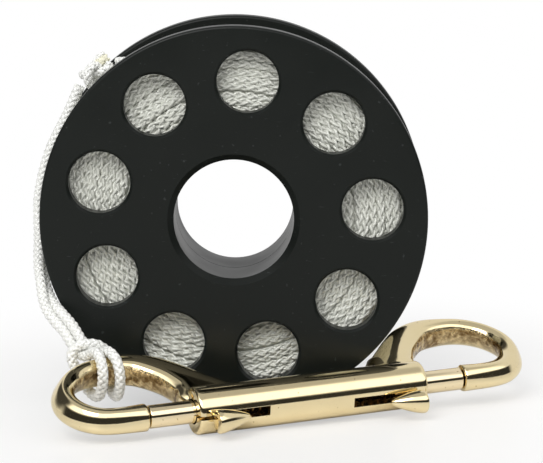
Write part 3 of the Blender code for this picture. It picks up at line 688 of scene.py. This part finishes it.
def braid_tree():
    tree, given = open_tree("round_braid", {"Yarns": YARNS, "Yarn Sides": YARN_SIDES}, BRAID_SIZES)
    even = add_node(tree, "GeometryNodeResampleCurve",
                    {"Curve": given["Geometry"], "Length": given["Step"]}, mode="LENGTH").outputs[0]
    copies = add_node(tree, "GeometryNodeDuplicateElements",
                      {"Geometry": even, "Amount": given["Yarns"]}, domain="SPLINE")
    yarn = copies.outputs["Duplicate Index"]
    # An even yarn has a way of 1 and an odd one of -1. It turns the yarn and swaps its over and under.
    way = math_node(tree, "MULTIPLY_ADD", math_node(tree, "MODULO", yarn, 2.0), -2.0, 1.0)
    pairs = math_node(tree, "DIVIDE", given["Yarns"], 2.0)
    pair = math_node(tree, "FLOOR", math_node(tree, "DIVIDE", yarn, 2.0))
    start = math_node(tree, "MULTIPLY", pair, math_node(tree, "DIVIDE", math.tau, pairs))
    along = add_node(tree, "GeometryNodeSplineParameter").outputs["Length"]
    turns = math_node(tree, "MULTIPLY", math_node(tree, "DIVIDE", along, given["Pitch"]), math.tau)
    angle = math_node(tree, "MULTIPLY_ADD", turns, way, start)
    weave = math_node(tree, "COSINE", math_node(tree, "MULTIPLY", turns, pairs))
    radius = math_node(tree, "MULTIPLY_ADD", math_node(tree, "MULTIPLY", weave, way),
                       given["Weave Depth"], given["Braid Radius"])
    normal = add_node(tree, "GeometryNodeInputNormal").outputs[0]
    tangent = add_node(tree, "GeometryNodeInputTangent").outputs[0]
    side = vector_node(tree, "CROSS_PRODUCT", {0: tangent, 1: normal})
    up_part = vector_node(tree, "SCALE", {0: normal, "Scale": math_node(tree, "COSINE", angle)})
    side_part = vector_node(tree, "SCALE", {0: side, "Scale": math_node(tree, "SINE", angle)})
    outward = vector_node(tree, "ADD", {0: up_part, 1: side_part})
    kept = keep(tree, copies.outputs[0], "outward", outward, "FLOAT_VECTOR")
    kept = keep(tree, kept, "along", along)
    offset = vector_node(tree, "SCALE", {0: outward, "Scale": radius})
    wound = add_node(tree, "GeometryNodeSetPosition", {"Geometry": kept, "Offset": offset})
    stored = add_node(tree, "GeometryNodeInputNamedAttribute", {"Name": "outward"},
                      data_type="FLOAT_VECTOR")
    faced = add_node(tree, "GeometryNodeSetCurveNormal",
                     {"Curve": wound.outputs[0], "Normal": stored.outputs[0]}, mode="FREE")
    oval = add_node(tree, "GeometryNodeCurvePrimitiveCircle",
                    {"Resolution": given["Yarn Sides"], "Radius": 1.0})
    size = add_node(tree, "ShaderNodeCombineXYZ",
                    {"X": given["Yarn Thickness"], "Y": given["Yarn Width"], "Z": 1.0})
    oval = add_node(tree, "GeometryNodeTransform", {"Geometry": oval.outputs[0], "Scale": size.outputs[0]})
    around = add_node(tree, "GeometryNodeSplineParameter").outputs["Factor"]
    yarns = sweep(tree, faced.outputs[0], keep(tree, oval.outputs[0], "around", around))
    ring = add_node(tree, "GeometryNodeCurvePrimitiveCircle",
                    {"Resolution": HEART_SIDES, "Radius": given["Heart Radius"]})
    heart = sweep(tree, even, ring.outputs[0])
    whole = add_node(tree, "GeometryNodeJoinGeometry")
    for part in (yarns, heart):
        tree.links.new(part, whole.inputs[0])
    soft = add_node(tree, "GeometryNodeSetShadeSmooth", {0: whole.outputs[0]})
    return close_tree(tree, soft.outputs[0], nylon)


round_braid = braid_tree()
print("a braid of", YARNS, "yarns with a turn every", BRAID_SIZES["Pitch"] * 1000.0, "mm")

# %% [markdown]
# ## Laying the braid
#
# The tree needs a path, so each stretch of line starts as a curve through given points. The braided
# result is kept as a plain mesh and the curve is thrown away.

# %% Laying the braid
def braided(name, points, values, finish=nylon):
    """A braid along a path of points."""
    curve = bpy.data.curves.new(name, "CURVE")
    curve.dimensions = "3D"
    spline = curve.splines.new("POLY")
    spline.points.add(len(points) - 1)
    for spot, point in zip(spline.points, points):
        spot.co = (*point, 1.0)
    path = new_piece(f"{name}_path", curve)
    add_tree(path, round_braid, values)
    mesh = plain_mesh(path)
    bpy.data.objects.remove(path, do_unlink=True)
    only_finish(mesh, finish)
    return new_piece(name, mesh)


print("braid in mm:", {label: round(value * 1000.0, 2) for label, value in BRAID_SIZES.items()})

# %% [markdown]
# ## The wound line
#
# Some eighteen metres of line fill the hub. Through the holes one sees the edges of its layers: turns
# that run round the hub, a little wavy and never quite side by side. Only what can be seen is made,
# as one spiral against each flange and the outermost layer, over a plain core. Under tension the braid
# draws out, so its turns are longer here than in the free end.

# %% The wound line
WOUND_BRAID = {
    "Pitch": 0.0108, "Step": 0.00068, "Braid Radius": 0.0008, "Weave Depth": 0.00016,
    "Heart Radius": 0.00086, "Yarn Width": 0.00046, "Yarn Thickness": 0.0003}
POINTS_A_TURN = 110
CORE_RADIUS = 0.0377
CORE_INSET = 0.0021
CORE_STEPS = 96
LAYER_STEP = 0.00176
FACE_START, FACE_END = 0.0234, 0.0388
FACE_INSET = 0.0016
FACE_WANDER, FACE_DEPTH_WANDER = 0.00042, 0.0004
TOP_RADIUS = 0.0391
TOP_STEP = 0.00235
TOP_INSET = 0.0015
TOP_WANDER = 0.0002
TOP_START = math.radians(-112.0)


def wander(angle, seed):
    """A slow wandering between -1 and 1 that never repeats within a spiral."""
    return (math.sin(angle * 1.37 + seed) + math.sin(angle * 2.71 + seed * 2.3)
            + math.sin(angle * 0.53 + seed * 4.1)) / 3.0


def about_axis(radius, angle, height):
    return spool_matrix @ Vector((radius * math.cos(angle), radius * math.sin(angle), height))


def face_spiral(outward):
    """A flat spiral of line against one flange."""
    points = []
    for index in range(int((FACE_END - FACE_START) / LAYER_STEP * POINTS_A_TURN) + 1):
        angle = math.tau * index / POINTS_A_TURN
        radius = FACE_START + LAYER_STEP * angle / math.tau + FACE_WANDER * wander(angle, 1.7 + outward)
        depth = inner_face - FACE_INSET + FACE_DEPTH_WANDER * wander(angle * 1.9, 5.1 + outward)
        points.append(about_axis(radius, angle, outward * depth))
    return points


def top_spiral():
    """The outermost layer, from the rear flange to the front one."""
    reach = inner_face - TOP_INSET
    count = int(2.0 * reach / TOP_STEP) * POINTS_A_TURN
    points = []
    for index in range(count + 1):
        angle = math.tau * index / POINTS_A_TURN + TOP_START
        height = reach - 2.0 * reach * index / count + TOP_WANDER * wander(angle * 1.3, 2.2)
        points.append(about_axis(TOP_RADIUS + TOP_WANDER * wander(angle, 0.4), angle, height))
    return points


core_reach = inner_face - CORE_INSET
core = turned("wound_core", [(CORE_RADIUS, core_reach), (CORE_RADIUS, -core_reach),
                             (HUB_RADIUS + SEAM, -core_reach), (HUB_RADIUS + SEAM, core_reach)],
              CORE_STEPS, shaded_wound_nylon, closed=True)
core.data.transform(spool_matrix)
settle(core, "spool", ["line_pack"])
for name, path, node in (("front_turns", face_spiral(-1.0), "line_pack"),
                         ("rear_turns", face_spiral(1.0), "line_pack"),
                         ("outer_turns", top_spiral(), "line_top_layer")):
    settle(braided(name, path, WOUND_BRAID, shaded_wound_nylon), "spool", [node])

# %% [markdown]
# ## A smooth curve through given places
#
# A route for the line is a list of places. A bare chain of them would have corners, and a Bezier curve
# would need a pair of handles at each one. So each stretch is a short cubic formula that bends by the
# place before it and the place after it. The bar of the snap's hooks is smoothed by the same formula.

# %% A smooth curve through given places
def curve_point(p0, p1, p2, p3, t):
    """A place on the smooth curve from p1, at t of 0, to p2, at t of 1."""
    return 0.5 * (2.0 * p1 + (p2 - p0) * t + (2.0 * p0 - 5.0 * p1 + 4.0 * p2 - p3) * t * t
                  + (3.0 * p1 - p0 - 3.0 * p2 + p3) * t * t * t)


def with_ends(given):
    """The given places with one more at either end, in line with the last two."""
    return [given[0] * 2.0 - given[1], *given, given[-1] * 2.0 - given[-2]]


def smooth_curve(points, spacing):
    """Points on a smooth curve through the given ones, about spacing apart."""
    control = with_ends([Vector(point) for point in points])
    curve = []
    for index in range(len(control) - 3):
        count = max(1, round((control[index + 2] - control[index + 1]).length / spacing))
        curve.extend(curve_point(*control[index:index + 4], step / count) for step in range(count))
    return [*curve, control[-2]]


def route_length(points):
    return sum((b - a).length for a, b in zip(points, points[1:]))


print("smooth curves are ready")

# %% [markdown]
# ## The two strands
#
# The line leaves its turns, is knotted into a long loop, and the loop runs down the left side to the
# snap, where it is hitched round the bar of the left eye. It is a limp braid, with the whole of it in
# view, so its length is simply the length of the route. The route takes its places from the solids.
# Its two strands start side by side across the width of the spool, and twist by a quarter turn on the
# way down to the snap.

# %% The two strands
STRAND_SPACING = 0.0024
KNOT_RADIUS = 0.0458
KNOT_ANGLE = math.radians(134.5)
KNOT_REACH = 0.00532
SPOOL_FOOT = SPOOL_CENTRE - Vector((0.0, 0.0, FLANGE_RADIUS))
STRAND_ROUTE = (
    (-0.0386, 0.0, 0.0674), (-0.0429, 0.0, 0.0587), (-0.0454, -0.0005, 0.0493),
    (-0.0456, -0.0022, 0.0435), (-0.0453, -0.0047, 0.038), (-0.0449, -0.0087, 0.0328),
    (-0.044, -0.0117, 0.0292), (-0.0427, -0.0147, 0.0255), (-0.0407, -0.0174, 0.0231),
    (-0.0377, -0.02, 0.0203), (-0.0354, -0.0221, 0.0171),
)
STRAND_TURNS = (0.0, 0.0, 0.0, 0.0, 0.0, 0.0, 0.1, 0.2, 0.45, 0.8, 1.0, 1.0)


def around_spool(radius, angle):
    return SPOOL_CENTRE + Vector((radius * math.cos(angle), 0.0, radius * math.sin(angle)))


front_to_back = Vector((0.0, 1.0, 0.0))
knot_along = Vector((-math.sin(KNOT_ANGLE), 0.0, math.cos(KNOT_ANGLE)))
knot_out = Vector((math.cos(KNOT_ANGLE), 0.0, math.sin(KNOT_ANGLE)))
middle = [around_spool(KNOT_RADIUS, KNOT_ANGLE) + knot_along * KNOT_REACH,
          *(SPOOL_FOOT + Vector(point) for point in STRAND_ROUTE)]
strands = {1.0: [], -1.0: []}
for index, (place, share) in enumerate(zip(middle, STRAND_TURNS)):
    run = middle[min(index + 1, len(middle) - 1)] - middle[max(index - 1, 0)]
    outward = Vector((place.x - SPOOL_CENTRE.x, 0.0, place.z - SPOOL_CENTRE.z))
    side = (outward.cross(run).normalized() * (1.0 - share)
            + front_to_back.cross(run).normalized() * share).normalized()
    for sign in strands:
        strands[sign].append(place + side * sign * STRAND_SPACING / 2.0)
print("strands", round(route_length(middle), 4), "m long and", STRAND_SPACING * 1000.0, "mm apart")

# %% [markdown]
# ## The hitch
#
# The loop holds the snap by a girth hitch. The line comes over the bar, goes round it, and passes over
# both strands as a bight before it goes round again. The hitch is drawn down on the bar as a worn line
# lies, so its places are listed one by one, measured from the middle of the bar.

# %% The hitch
ROUTE_STEP = 0.0012
HITCH_PLACE = Vector((-0.0416, 0.0198, 0.0))
HITCH_ROUTE = (
    (-0.0039, 0.0056, 0.0014), (-0.003, 0.0042, 0.0021), (-0.0024, 0.0027, 0.0037),
    (-0.0021, 0.0006, 0.0047), (-0.0021, -0.0022, 0.0043), (-0.0021, -0.0042, 0.0022),
    (-0.0021, -0.0043, -0.0015), (-0.0024, -0.0031, -0.0044), (-0.003, 0.0, -0.0054),
    (-0.0042, 0.0032, -0.0042), (-0.0055, 0.0046, -0.0014), (-0.0064, 0.0054, 0.001),
    (-0.006, 0.006, 0.0028), (-0.0046, 0.0062, 0.0038), (-0.0026, 0.006, 0.004),
    (-0.0006, 0.0057, 0.0038), (0.001, 0.0053, 0.0028), (0.0019, 0.0049, 0.001),
    (0.0021, 0.0045, -0.0014), (0.002, 0.0031, -0.0044), (0.0019, -0.0004, -0.0055),
    (0.0019, -0.0037, -0.0045), (0.0019, -0.0049, -0.0015), (0.0018, -0.0046, 0.0018),
    (0.0015, -0.0026, 0.0042), (0.0008, 0.0004, 0.0048), (0.0001, 0.0026, 0.0038),
    (-0.0004, 0.0042, 0.0022), (-0.0013, 0.0056, 0.0016),
)

hitch = [snap_matrix @ (HITCH_PLACE + Vector(point)) for point in HITCH_ROUTE]
loop_path = smooth_curve([*strands[1.0], *hitch, *reversed(strands[-1.0])], ROUTE_STEP)

# %% [markdown]
# ## The loop, the knot and the two ends
#
# The loop hangs slack, so its braid is fuller than on the hub. The knot is a thumb knot. Pulled up, it
# is close to a curve of three lobes that crosses itself three times, and a short formula draws that.
# The leader is the single line from the turns to the knot. The cut tail beyond the knot was sealed in
# a flame, which fills the braid, so its heart is thicker.

# %% The loop, the knot and the two ends
LOOP_BRAID = {
    "Braid Radius": 0.00086, "Yarn Width": 0.0005, "Yarn Thickness": 0.00034,
    "Heart Radius": 0.00095, "Step": 0.0003, "Yarn Sides": 6}
KNOT_BRAID = {"Step": 0.0003, "Yarn Sides": 6}
SEALED_BRAID = {**KNOT_BRAID, "Heart Radius": 0.00105}
KNOT_SIZE = 0.0014
KNOT_STEPS = 60
KNOT_OPENING = 0.045
KNOT_SIDE_REACH = 0.0056
LEADER_START = math.radians(112.0)
LEADER_RADIUS = 0.04166
LEADER_RISES = (0.0, 0.0, 0.05, 0.22, 0.6)
LEADER_LEADS = (-0.0065, -0.0065, -0.006, -0.004, -0.001)
LEADER_STEP = 0.001
TAIL_RADIUS = 0.0469
TAIL_LENGTH = 0.0052
TAIL_DROP = 0.0006
TAIL_STEPS = 8
TAIL_LEAD = math.radians(1.0)

knot_path = []
for index in range(KNOT_STEPS + 1):
    turn = math.pi + math.tau * (KNOT_OPENING + (1.0 - 2.0 * KNOT_OPENING) * index / KNOT_STEPS)
    wide = math.sin(turn) + 2.0 * math.sin(2.0 * turn)
    long = math.cos(turn) - 2.0 * math.cos(2.0 * turn)
    deep = -math.sin(3.0 * turn)
    knot_path.append(around_spool(KNOT_RADIUS, KNOT_ANGLE)
                     + (front_to_back * wide + knot_along * long + knot_out * deep) * KNOT_SIZE)

leader_sweep = KNOT_ANGLE - KNOT_SIDE_REACH / KNOT_RADIUS - LEADER_START
leader_path = smooth_curve(
    [around_spool(LEADER_RADIUS + (KNOT_RADIUS - LEADER_RADIUS) * rise,
                  LEADER_START + leader_sweep * index / (len(LEADER_RISES) - 1)) + front_to_back * lead
     for index, (rise, lead) in enumerate(zip(LEADER_RISES, LEADER_LEADS))], LEADER_STEP)

tail_path = []
for share in (index / TAIL_STEPS for index in range(TAIL_STEPS + 1)):
    angle = KNOT_ANGLE + TAIL_LEAD - TAIL_LENGTH * share / TAIL_RADIUS
    tail_path.append(around_spool(TAIL_RADIUS - TAIL_DROP * share, angle))

loop = braided("hitched_loop", loop_path, LOOP_BRAID)
knot = braided("thumb_knot", knot_path, KNOT_BRAID)
leader = braided("line_to_knot", leader_path, KNOT_BRAID)
tail = braided("cut_tail", tail_path, SEALED_BRAID, sealed_nylon)
for piece, node in ((loop, "line_loop"), (knot, "line_knot"), (leader, "line_leader"), (tail, "line_tail")):
    settle(piece, "clip", [node])
print("leader", round(route_length(leader_path), 4), "m of line")

# %% [markdown]
# ## The bar of the hooks
#
# At either end of the snap a bar swings out of the barrel and round to a tip. It changes section all
# the way, so it is a loft of super-ellipses, round at the tip and taller than wide at the back of the
# eye. Each hook has been filed to a soft ridge, which comes from turning its squarish sections.

# %% The bar of the hooks
EYE_REACH = 0.0546
EYE_BACK = 0.0198
TIP_FACE = 0.0385
ROD_RADIUS = 0.0032
BAR_HALF_WIDTH = 0.0024
BAR_HALF_HEIGHT = 0.0034
TIP_SQUARENESS, BAR_SQUARENESS = 2.2, 2.8
SECTION_POINTS = 40
SECTION_SPACING = 0.0009
CURVE_STEPS = 24
REACH_SHARES = (0.83, 0.908, 0.969, 1.0, 0.993, 0.945, 0.869, 0.775, 0.66, 0.577, 0.514, 0.462, 0.42, 0.31)
BACK_SHARES = (0.0, 0.045, 0.182, 0.382, 0.6, 0.809, 0.95, 1.0, 0.975, 0.85, 0.67, 0.455, 0.26, 0.08)
WIDTH_SHARES = (1.33, 1.33, 1.25, 1.13, 1.08, 1.04, 1.0, 1.0, 1.3, 1.6, 1.75, 2.1, 2.7, 1.6)
FACET_SHARES = (1.0, 1.0, 1.0, 1.0, 1.0, 0.9, 0.6, 0.25, 0.0, 0.0, 0.0, 0.0, 0.0, 0.0)
FACET_TURN = math.radians(30.0)
FULL_HEIGHT_AT = 5.0


def spline_rows(rows, spacing):
    """Rows of numbers whose first two are a place, resampled evenly along a smooth curve."""
    control = with_ends(rows)
    fine = [curve_point(*control[index:index + 4], t)
            for index in range(len(rows) - 1) for t in np.arange(0.0, 1.0, 1.0 / CURVE_STEPS)]
    fine = np.array([*fine, rows[-1]])
    lengths = np.concatenate([[0.0], np.cumsum(np.linalg.norm(np.diff(fine[:, :2], axis=0), axis=1))])
    wanted = np.linspace(0.0, lengths[-1], int(lengths[-1] / spacing) + 1)
    return np.stack([np.interp(wanted, lengths, column) for column in fine.T], axis=1)


def bar_rows():
    """Along the bar from the tip: its place, half width, half height, squareness and turn."""
    rows = [(TIP_FACE, 0.0, ROD_RADIUS, ROD_RADIUS, TIP_SQUARENESS, FACET_TURN)]
    for index, (reach, back, width, facet) in enumerate(
            zip(REACH_SHARES, BACK_SHARES, WIDTH_SHARES, FACET_SHARES)):
        grown = min(1.0, index / FULL_HEIGHT_AT)
        rows.append((EYE_REACH * reach, EYE_BACK * back, BAR_HALF_WIDTH * width,
                     ROD_RADIUS + (BAR_HALF_HEIGHT - ROD_RADIUS) * grown, BAR_SQUARENESS,
                     FACET_TURN * facet))
    return spline_rows([np.array(row) for row in rows], SECTION_SPACING)


def bar_section(half_width, half_height, squareness, turn):
    """A super-ellipse turned in its plane, then brought back to its own width and height."""
    section = []
    for step in range(SECTION_POINTS):
        angle = math.tau * step / SECTION_POINTS
        point = Vector([math.copysign(abs(value) ** (2.0 / squareness), value) * half
                        for value, half in ((math.cos(angle), half_width), (math.sin(angle), half_height))])
        section.append(Matrix.Rotation(turn, 2) @ point)
    widest, highest = max(point.x for point in section), max(point.y for point in section)
    return [(point.x * half_width / widest, point.y * half_height / highest) for point in section]


def hook(name, side):
    sections = bar_rows()
    places = [Vector((side * row[0], row[1], 0.0)) for row in sections]
    shape = bmesh.new()
    rings = []
    for index, (place, row) in enumerate(zip(places, sections)):
        run = places[min(index + 1, len(places) - 1)] - places[max(index - 1, 0)]
        run = Vector((side, 0.0, 0.0)) if index == 0 else run.normalized()
        across = Vector((-run.y, run.x, 0.0))
        rings.append([shape.verts.new(place + across * wide + Vector((0.0, 0.0, high)))
                      for wide, high in bar_section(*row[2:5], -side * row[5])])
    for lower, upper in zip(rings, rings[1:]):
        for step in range(SECTION_POINTS):
            after = (step + 1) % SECTION_POINTS
            shape.faces.new((lower[step], lower[after], upper[after], upper[step]))
    shape.faces.new(rings[0][::-1])
    shape.faces.new(rings[-1])
    bmesh.ops.recalc_face_normals(shape, faces=shape.faces)
    return shape_piece(name, shape)


print("a hook of", len(bar_rows()), "sections of", SECTION_POINTS, "points")

# %% [markdown]
# ## The snap's casting
#
# A bolt snap is cast in one piece: a barrel with a hook at either end. Hooks and barrel are joined,
# remeshed and smoothed, which rounds their meeting into a casting's fillet. A Bevel would need a clean
# edge there, and a union of round shapes leaves none.

# %% The snap's casting
SIDES = {"right": 1.0, "left": -1.0}
BARREL_RADIUS = 0.00535
BARREL_HALF_LENGTH = 0.0272
BARREL_LIP = {1.0: 0.0008, -1.0: 0.0004}
BARREL_EDGE = (0.0007, 6)
BARREL_STEPS = 96
CASTING_VOXEL = 0.00034
MELT_ROUNDS = 9
MELT_STRENGTH = 0.5


def along_barrel(side):
    return Matrix.Rotation(side * math.pi / 2.0, 4, "Y")


right_end, left_end = (BARREL_HALF_LENGTH + BARREL_LIP[side] for side in SIDES.values())
snap = rod("snap_casting", BARREL_RADIUS, right_end, -left_end, BARREL_STEPS, edge=BARREL_EDGE)
snap.data.transform(along_barrel(1.0))
for label, side in SIDES.items():
    combine(snap, hook(f"{label}_hook", side), "UNION")
remesh = snap.modifiers.new("remesh", "REMESH")
remesh.mode = "VOXEL"
remesh.voxel_size = CASTING_VOXEL
melt = snap.modifiers.new("melt", "SMOOTH")
melt.factor = MELT_STRENGTH
melt.iterations = MELT_ROUNDS
bake(snap)
print("casting remeshed to", len(snap.data.polygons), "faces")

# %% [markdown]
# ## Bores and slots
#
# Each end of the barrel is bored for its bolt, and a slot through the front wall lets the thumb knob
# travel. The slot runs out to the barrel's end through a narrow slit, where the knob went in. A
# shallow flat is filed along the front, and its edge catches the light. These are machined, so they
# are cut after the smoothing and keep their crisp edges.

# %% Bores and slots
BOLT_RADIUS = 0.0026
BOLT_CLEARANCE = 0.0003
BORE_BOTTOM = 0.0025
BORE_STEPS = 64
SLOT_WIDTH = 0.0023
SLOT_INNER = {1.0: 0.0095, -1.0: 0.011}
SLOT_RISE = {1.0: math.radians(5.0), -1.0: math.radians(14.0)}
SLIT_WIDTH = 0.0009
KNOB_INSET = {1.0: 0.0006, -1.0: 0.0019}
KNOB_RADIUS = 0.0025
STEM_ROOM = 0.0013
FLAT_DEPTH = 0.00025
FLAT_ENDS = (-0.02, 0.0272)
FLAT_RISE = math.radians(9.0)
FLAT_HALF_HEIGHT = 0.004
CUT_OVERRUN = 0.003


def box_piece(name, low, high):
    shape = bmesh.new()
    bmesh.ops.create_cube(shape, size=1.0)
    bmesh.ops.scale(shape, vec=Vector(high) - Vector(low), verts=shape.verts)
    bmesh.ops.translate(shape, vec=(Vector(high) + Vector(low)) / 2.0, verts=shape.verts)
    return shape_piece(name, shape)


def turned_up(rise):
    """A turn about the barrel's axis that lifts what is cut or fitted at its front."""
    return Matrix.Rotation(-rise, 4, "X")


def front_cut(name, ends, width):
    """A box through the barrel's front wall, between two places along the barrel."""
    low, high = sorted(ends)
    return box_piece(name, (low, -BARREL_RADIUS - CUT_OVERRUN, -width / 2.0), (high, 0.0, width / 2.0))


def stem_place(side):
    return BARREL_HALF_LENGTH - KNOB_INSET[side] - KNOB_RADIUS


flat = box_piece("flat", (FLAT_ENDS[0], -BARREL_RADIUS - CUT_OVERRUN, -FLAT_HALF_HEIGHT),
                 (FLAT_ENDS[1], -BARREL_RADIUS + FLAT_DEPTH, FLAT_HALF_HEIGHT))
flat.data.transform(turned_up(FLAT_RISE))
combine(snap, flat, "DIFFERENCE", "MANIFOLD")

bore_radius = BOLT_RADIUS + BOLT_CLEARANCE
beyond = BARREL_HALF_LENGTH + CUT_OVERRUN
for side in SIDES.values():
    bore = rod("bore", bore_radius, beyond, BORE_BOTTOM, BORE_STEPS)
    bore.data.transform(along_barrel(side))
    stem_end = stem_place(side) + STEM_ROOM
    slot = front_cut("slot", (side * SLOT_INNER[side], side * (stem_end + BOLT_CLEARANCE)), SLOT_WIDTH)
    combine(slot, front_cut("slit", (side * stem_end, side * beyond), SLIT_WIDTH), "UNION")
    slot.data.transform(turned_up(SLOT_RISE[side]))
    combine(bore, slot, "UNION")
    combine(snap, bore, "DIFFERENCE", "MANIFOLD")
print("bored and slotted to", len(snap.data.polygons), "faces")

# %% [markdown]
# ## As cast inside the eyes
#
# A polishing wheel reaches the outside of an eye but not the inside, which keeps its rough brown skin,
# and so do the bores. A mesh attribute marks that skin: it is 1 where a face looks towards the middle
# of its eye, and the brass finish reads it.

# %% As cast inside the eyes
EYE_MIDDLE = (0.0395, 0.0095)
EYE_FROM = (0.017, 0.0035)
FACING_START, FACING_SPAN = 0.72, 0.2
SMALLEST_DISTANCE = 0.000001
BORE_SKIN = 0.00005
MOUTH_POLISH = 0.0003
SNAP_SHARP_ANGLE = 40.0

snap_mesh = snap.data
smooth(snap_mesh, SNAP_SHARP_ANGLE)
places = np.array([vertex.co for vertex in snap_mesh.vertices])
normals = np.array([vertex.normal for vertex in snap_mesh.vertices])
as_cast = np.zeros(len(places))
for side in SIDES.values():
    towards = np.array([side * EYE_MIDDLE[0], EYE_MIDDLE[1], 0.0]) - places
    towards[:, 2] = 0.0
    distance = np.linalg.norm(towards, axis=1)
    facing = (normals * towards).sum(axis=1) / np.maximum(distance, SMALLEST_DISTANCE)
    beside = (places[:, 0] * side > EYE_FROM[0]) & (places[:, 1] > EYE_FROM[1])
    rough = np.clip((facing - FACING_START) / FACING_SPAN, 0.0, 1.0)
    as_cast = np.maximum(as_cast, np.where(beside, rough, 0.0))
in_bore = ((np.hypot(places[:, 1], places[:, 2]) < bore_radius + BORE_SKIN)
           & (np.abs(places[:, 0]) < BARREL_HALF_LENGTH - MOUTH_POLISH))
as_cast[in_bore] = 1.0
attribute = snap_mesh.attributes.new("as_cast", "FLOAT", "POINT")
attribute.data.foreach_set("value", as_cast)
only_finish(snap_mesh, cast_brass)
snap_mesh.transform(snap_matrix)
settle(snap, "clip", ["snap_body"])
print("as cast:", int(as_cast.sum()), "of", len(as_cast), "points")

# %% [markdown]
# ## Bolts
#
# A bolt is a length of turned rod, so it is a profile and a Screw modifier. It reaches from the tip of
# its hook into the bore, and a short shank goes on beyond the stem of its knob.

# %% Bolts
BOLT_TIP = TIP_FACE - BOLT_CLEARANCE
BOLT_SHANK = 0.0018
BOLT_EDGE = (0.00035, 5)
BOLT_STEPS = 64


def gate_matrix(side):
    return snap_matrix @ turned_up(SLOT_RISE[side]) @ along_barrel(side)


def bolt_inner_end(side):
    return stem_place(side) - STEM_ROOM - BOLT_CLEARANCE - BOLT_SHANK


def gate_bolt(label, side):
    bolt = rod(f"{label}_gate_bolt", BOLT_RADIUS, BOLT_TIP, bolt_inner_end(side), BOLT_STEPS,
               rod_brass, BOLT_EDGE)
    bolt.data.transform(gate_matrix(side))
    settle(bolt, f"{label}_gate", [f"{label}_bolt"])


for label, side in SIDES.items():
    print(label, "bolt", round((BOLT_TIP - bolt_inner_end(side)) * 1000.0, 1), "mm long")

# %% [markdown]
# ## Thumb knobs
#
# A thumb knob is a blunt cone that leans towards the barrel, on a stem that passes through the slot
# into the bolt. Cone and stem are turned, the cone is leaned by moving its points, and a union makes
# them one.

# %% Thumb knobs
STEM_DEPTH = 0.0012
STEM_RADIUS = 0.0009
STEM_STEPS = 32
KNOB_STANDOFF = 0.0004
KNOB_LENGTH = 0.009
KNOB_GIRTH = 0.0027
KNOB_LEAN = 0.0011
KNOB_SETBACK = {1.0: 0.0009, -1.0: 0.0004}
KNOB_STEPS = 48
KNOB_WIDTH_SHARES = (0.0, 0.84, 0.93, 0.985, 1.0, 0.98, 0.91, 0.81, 0.69, 0.56, 0.43, 0.3, 0.16, 0.0)
KNOB_LENGTH_SHARES = (0.0, 0.0, 0.012, 0.045, 0.1, 0.18, 0.31, 0.44, 0.57, 0.7, 0.81, 0.9, 0.97, 1.0)


def thumb_knob(label, side):
    knob_end = BARREL_HALF_LENGTH - KNOB_INSET[side]
    face = knob_end - KNOB_SETBACK[side]
    length = knob_end - KNOB_LENGTH - face
    profile = [(KNOB_GIRTH * wide, face + length * long)
               for wide, long in zip(KNOB_WIDTH_SHARES, KNOB_LENGTH_SHARES)]
    knob = turned(f"{label}_knob", profile, KNOB_STEPS)
    for vertex in knob.data.vertices:
        vertex.co.y += KNOB_LEAN * (vertex.co.z - face) / length
    centre = BARREL_RADIUS + KNOB_STANDOFF + KNOB_RADIUS
    knob.data.transform(Matrix.Translation((0.0, -centre, 0.0)))
    stem = rod(f"{label}_stem", STEM_RADIUS, centre, -STEM_DEPTH, STEM_STEPS)
    stem.data.transform(Matrix.Translation((0.0, 0.0, stem_place(side)))
                        @ Matrix.Rotation(math.pi / 2.0, 4, "X"))
    mesh = combine(knob, stem, "UNION")
    only_finish(mesh, cast_brass)
    smooth(mesh, SNAP_SHARP_ANGLE)
    mesh.transform(gate_matrix(side))
    settle(knob, f"{label}_gate", [f"{label}_thumb_knob"])


print("knobs", round(KNOB_GIRTH * 2000.0, 1), "mm thick on stems of", round(STEM_RADIUS * 2000.0, 1), "mm")

# %% [markdown]
# ## Springs, and both sides made
#
# A coil spring behind each bolt pushes it shut. Geometry Nodes' Spiral draws the coil and a small
# circle is swept along it. One loop then makes the bolt, the knob and the spring of each side.

# %% Springs, and both sides made
SPRING_WIRE = 0.00025
SPRING_RADIUS = 0.0022
SPRING_CURLS = 9.0
COIL_STEPS = 28
WIRE_SIDES = 10


def spring_tree():
    tree, given = open_tree("coil_spring", {}, {"Curls": SPRING_CURLS, "Coil Radius": SPRING_RADIUS,
                                                "Height": 0.0, "Wire Radius": SPRING_WIRE})
    coil = add_node(tree, "GeometryNodeCurveSpiral",
                    {"Resolution": COIL_STEPS, "Rotations": given["Curls"], "Height": given["Height"],
                     "Start Radius": given["Coil Radius"], "End Radius": given["Coil Radius"]})
    wire = add_node(tree, "GeometryNodeCurvePrimitiveCircle",
                    {"Resolution": WIRE_SIDES, "Radius": given["Wire Radius"]})
    swept = sweep(tree, coil.outputs[0], wire.outputs[0])
    return close_tree(tree, add_node(tree, "GeometryNodeSetShadeSmooth", {0: swept}).outputs[0], steel)


def gate_spring(label, side):
    inner_end = bolt_inner_end(side)
    low = BORE_BOTTOM + BOLT_CLEARANCE + SPRING_WIRE
    high = inner_end - BOLT_CLEARANCE - SPRING_WIRE
    spring = new_piece(f"{label}_coil", bpy.data.meshes.new(f"{label}_coil"))
    add_tree(spring, coil_spring, {"Height": high - low})
    bake(spring).transform(gate_matrix(side) @ Matrix.Translation((0.0, 0.0, low)))
    settle(spring, "clip", [f"{label}_spring"])
    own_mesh(spring)


coil_spring = spring_tree()
for label, side in SIDES.items():
    gate_bolt(label, side)
    thumb_knob(label, side)
    gate_spring(label, side)
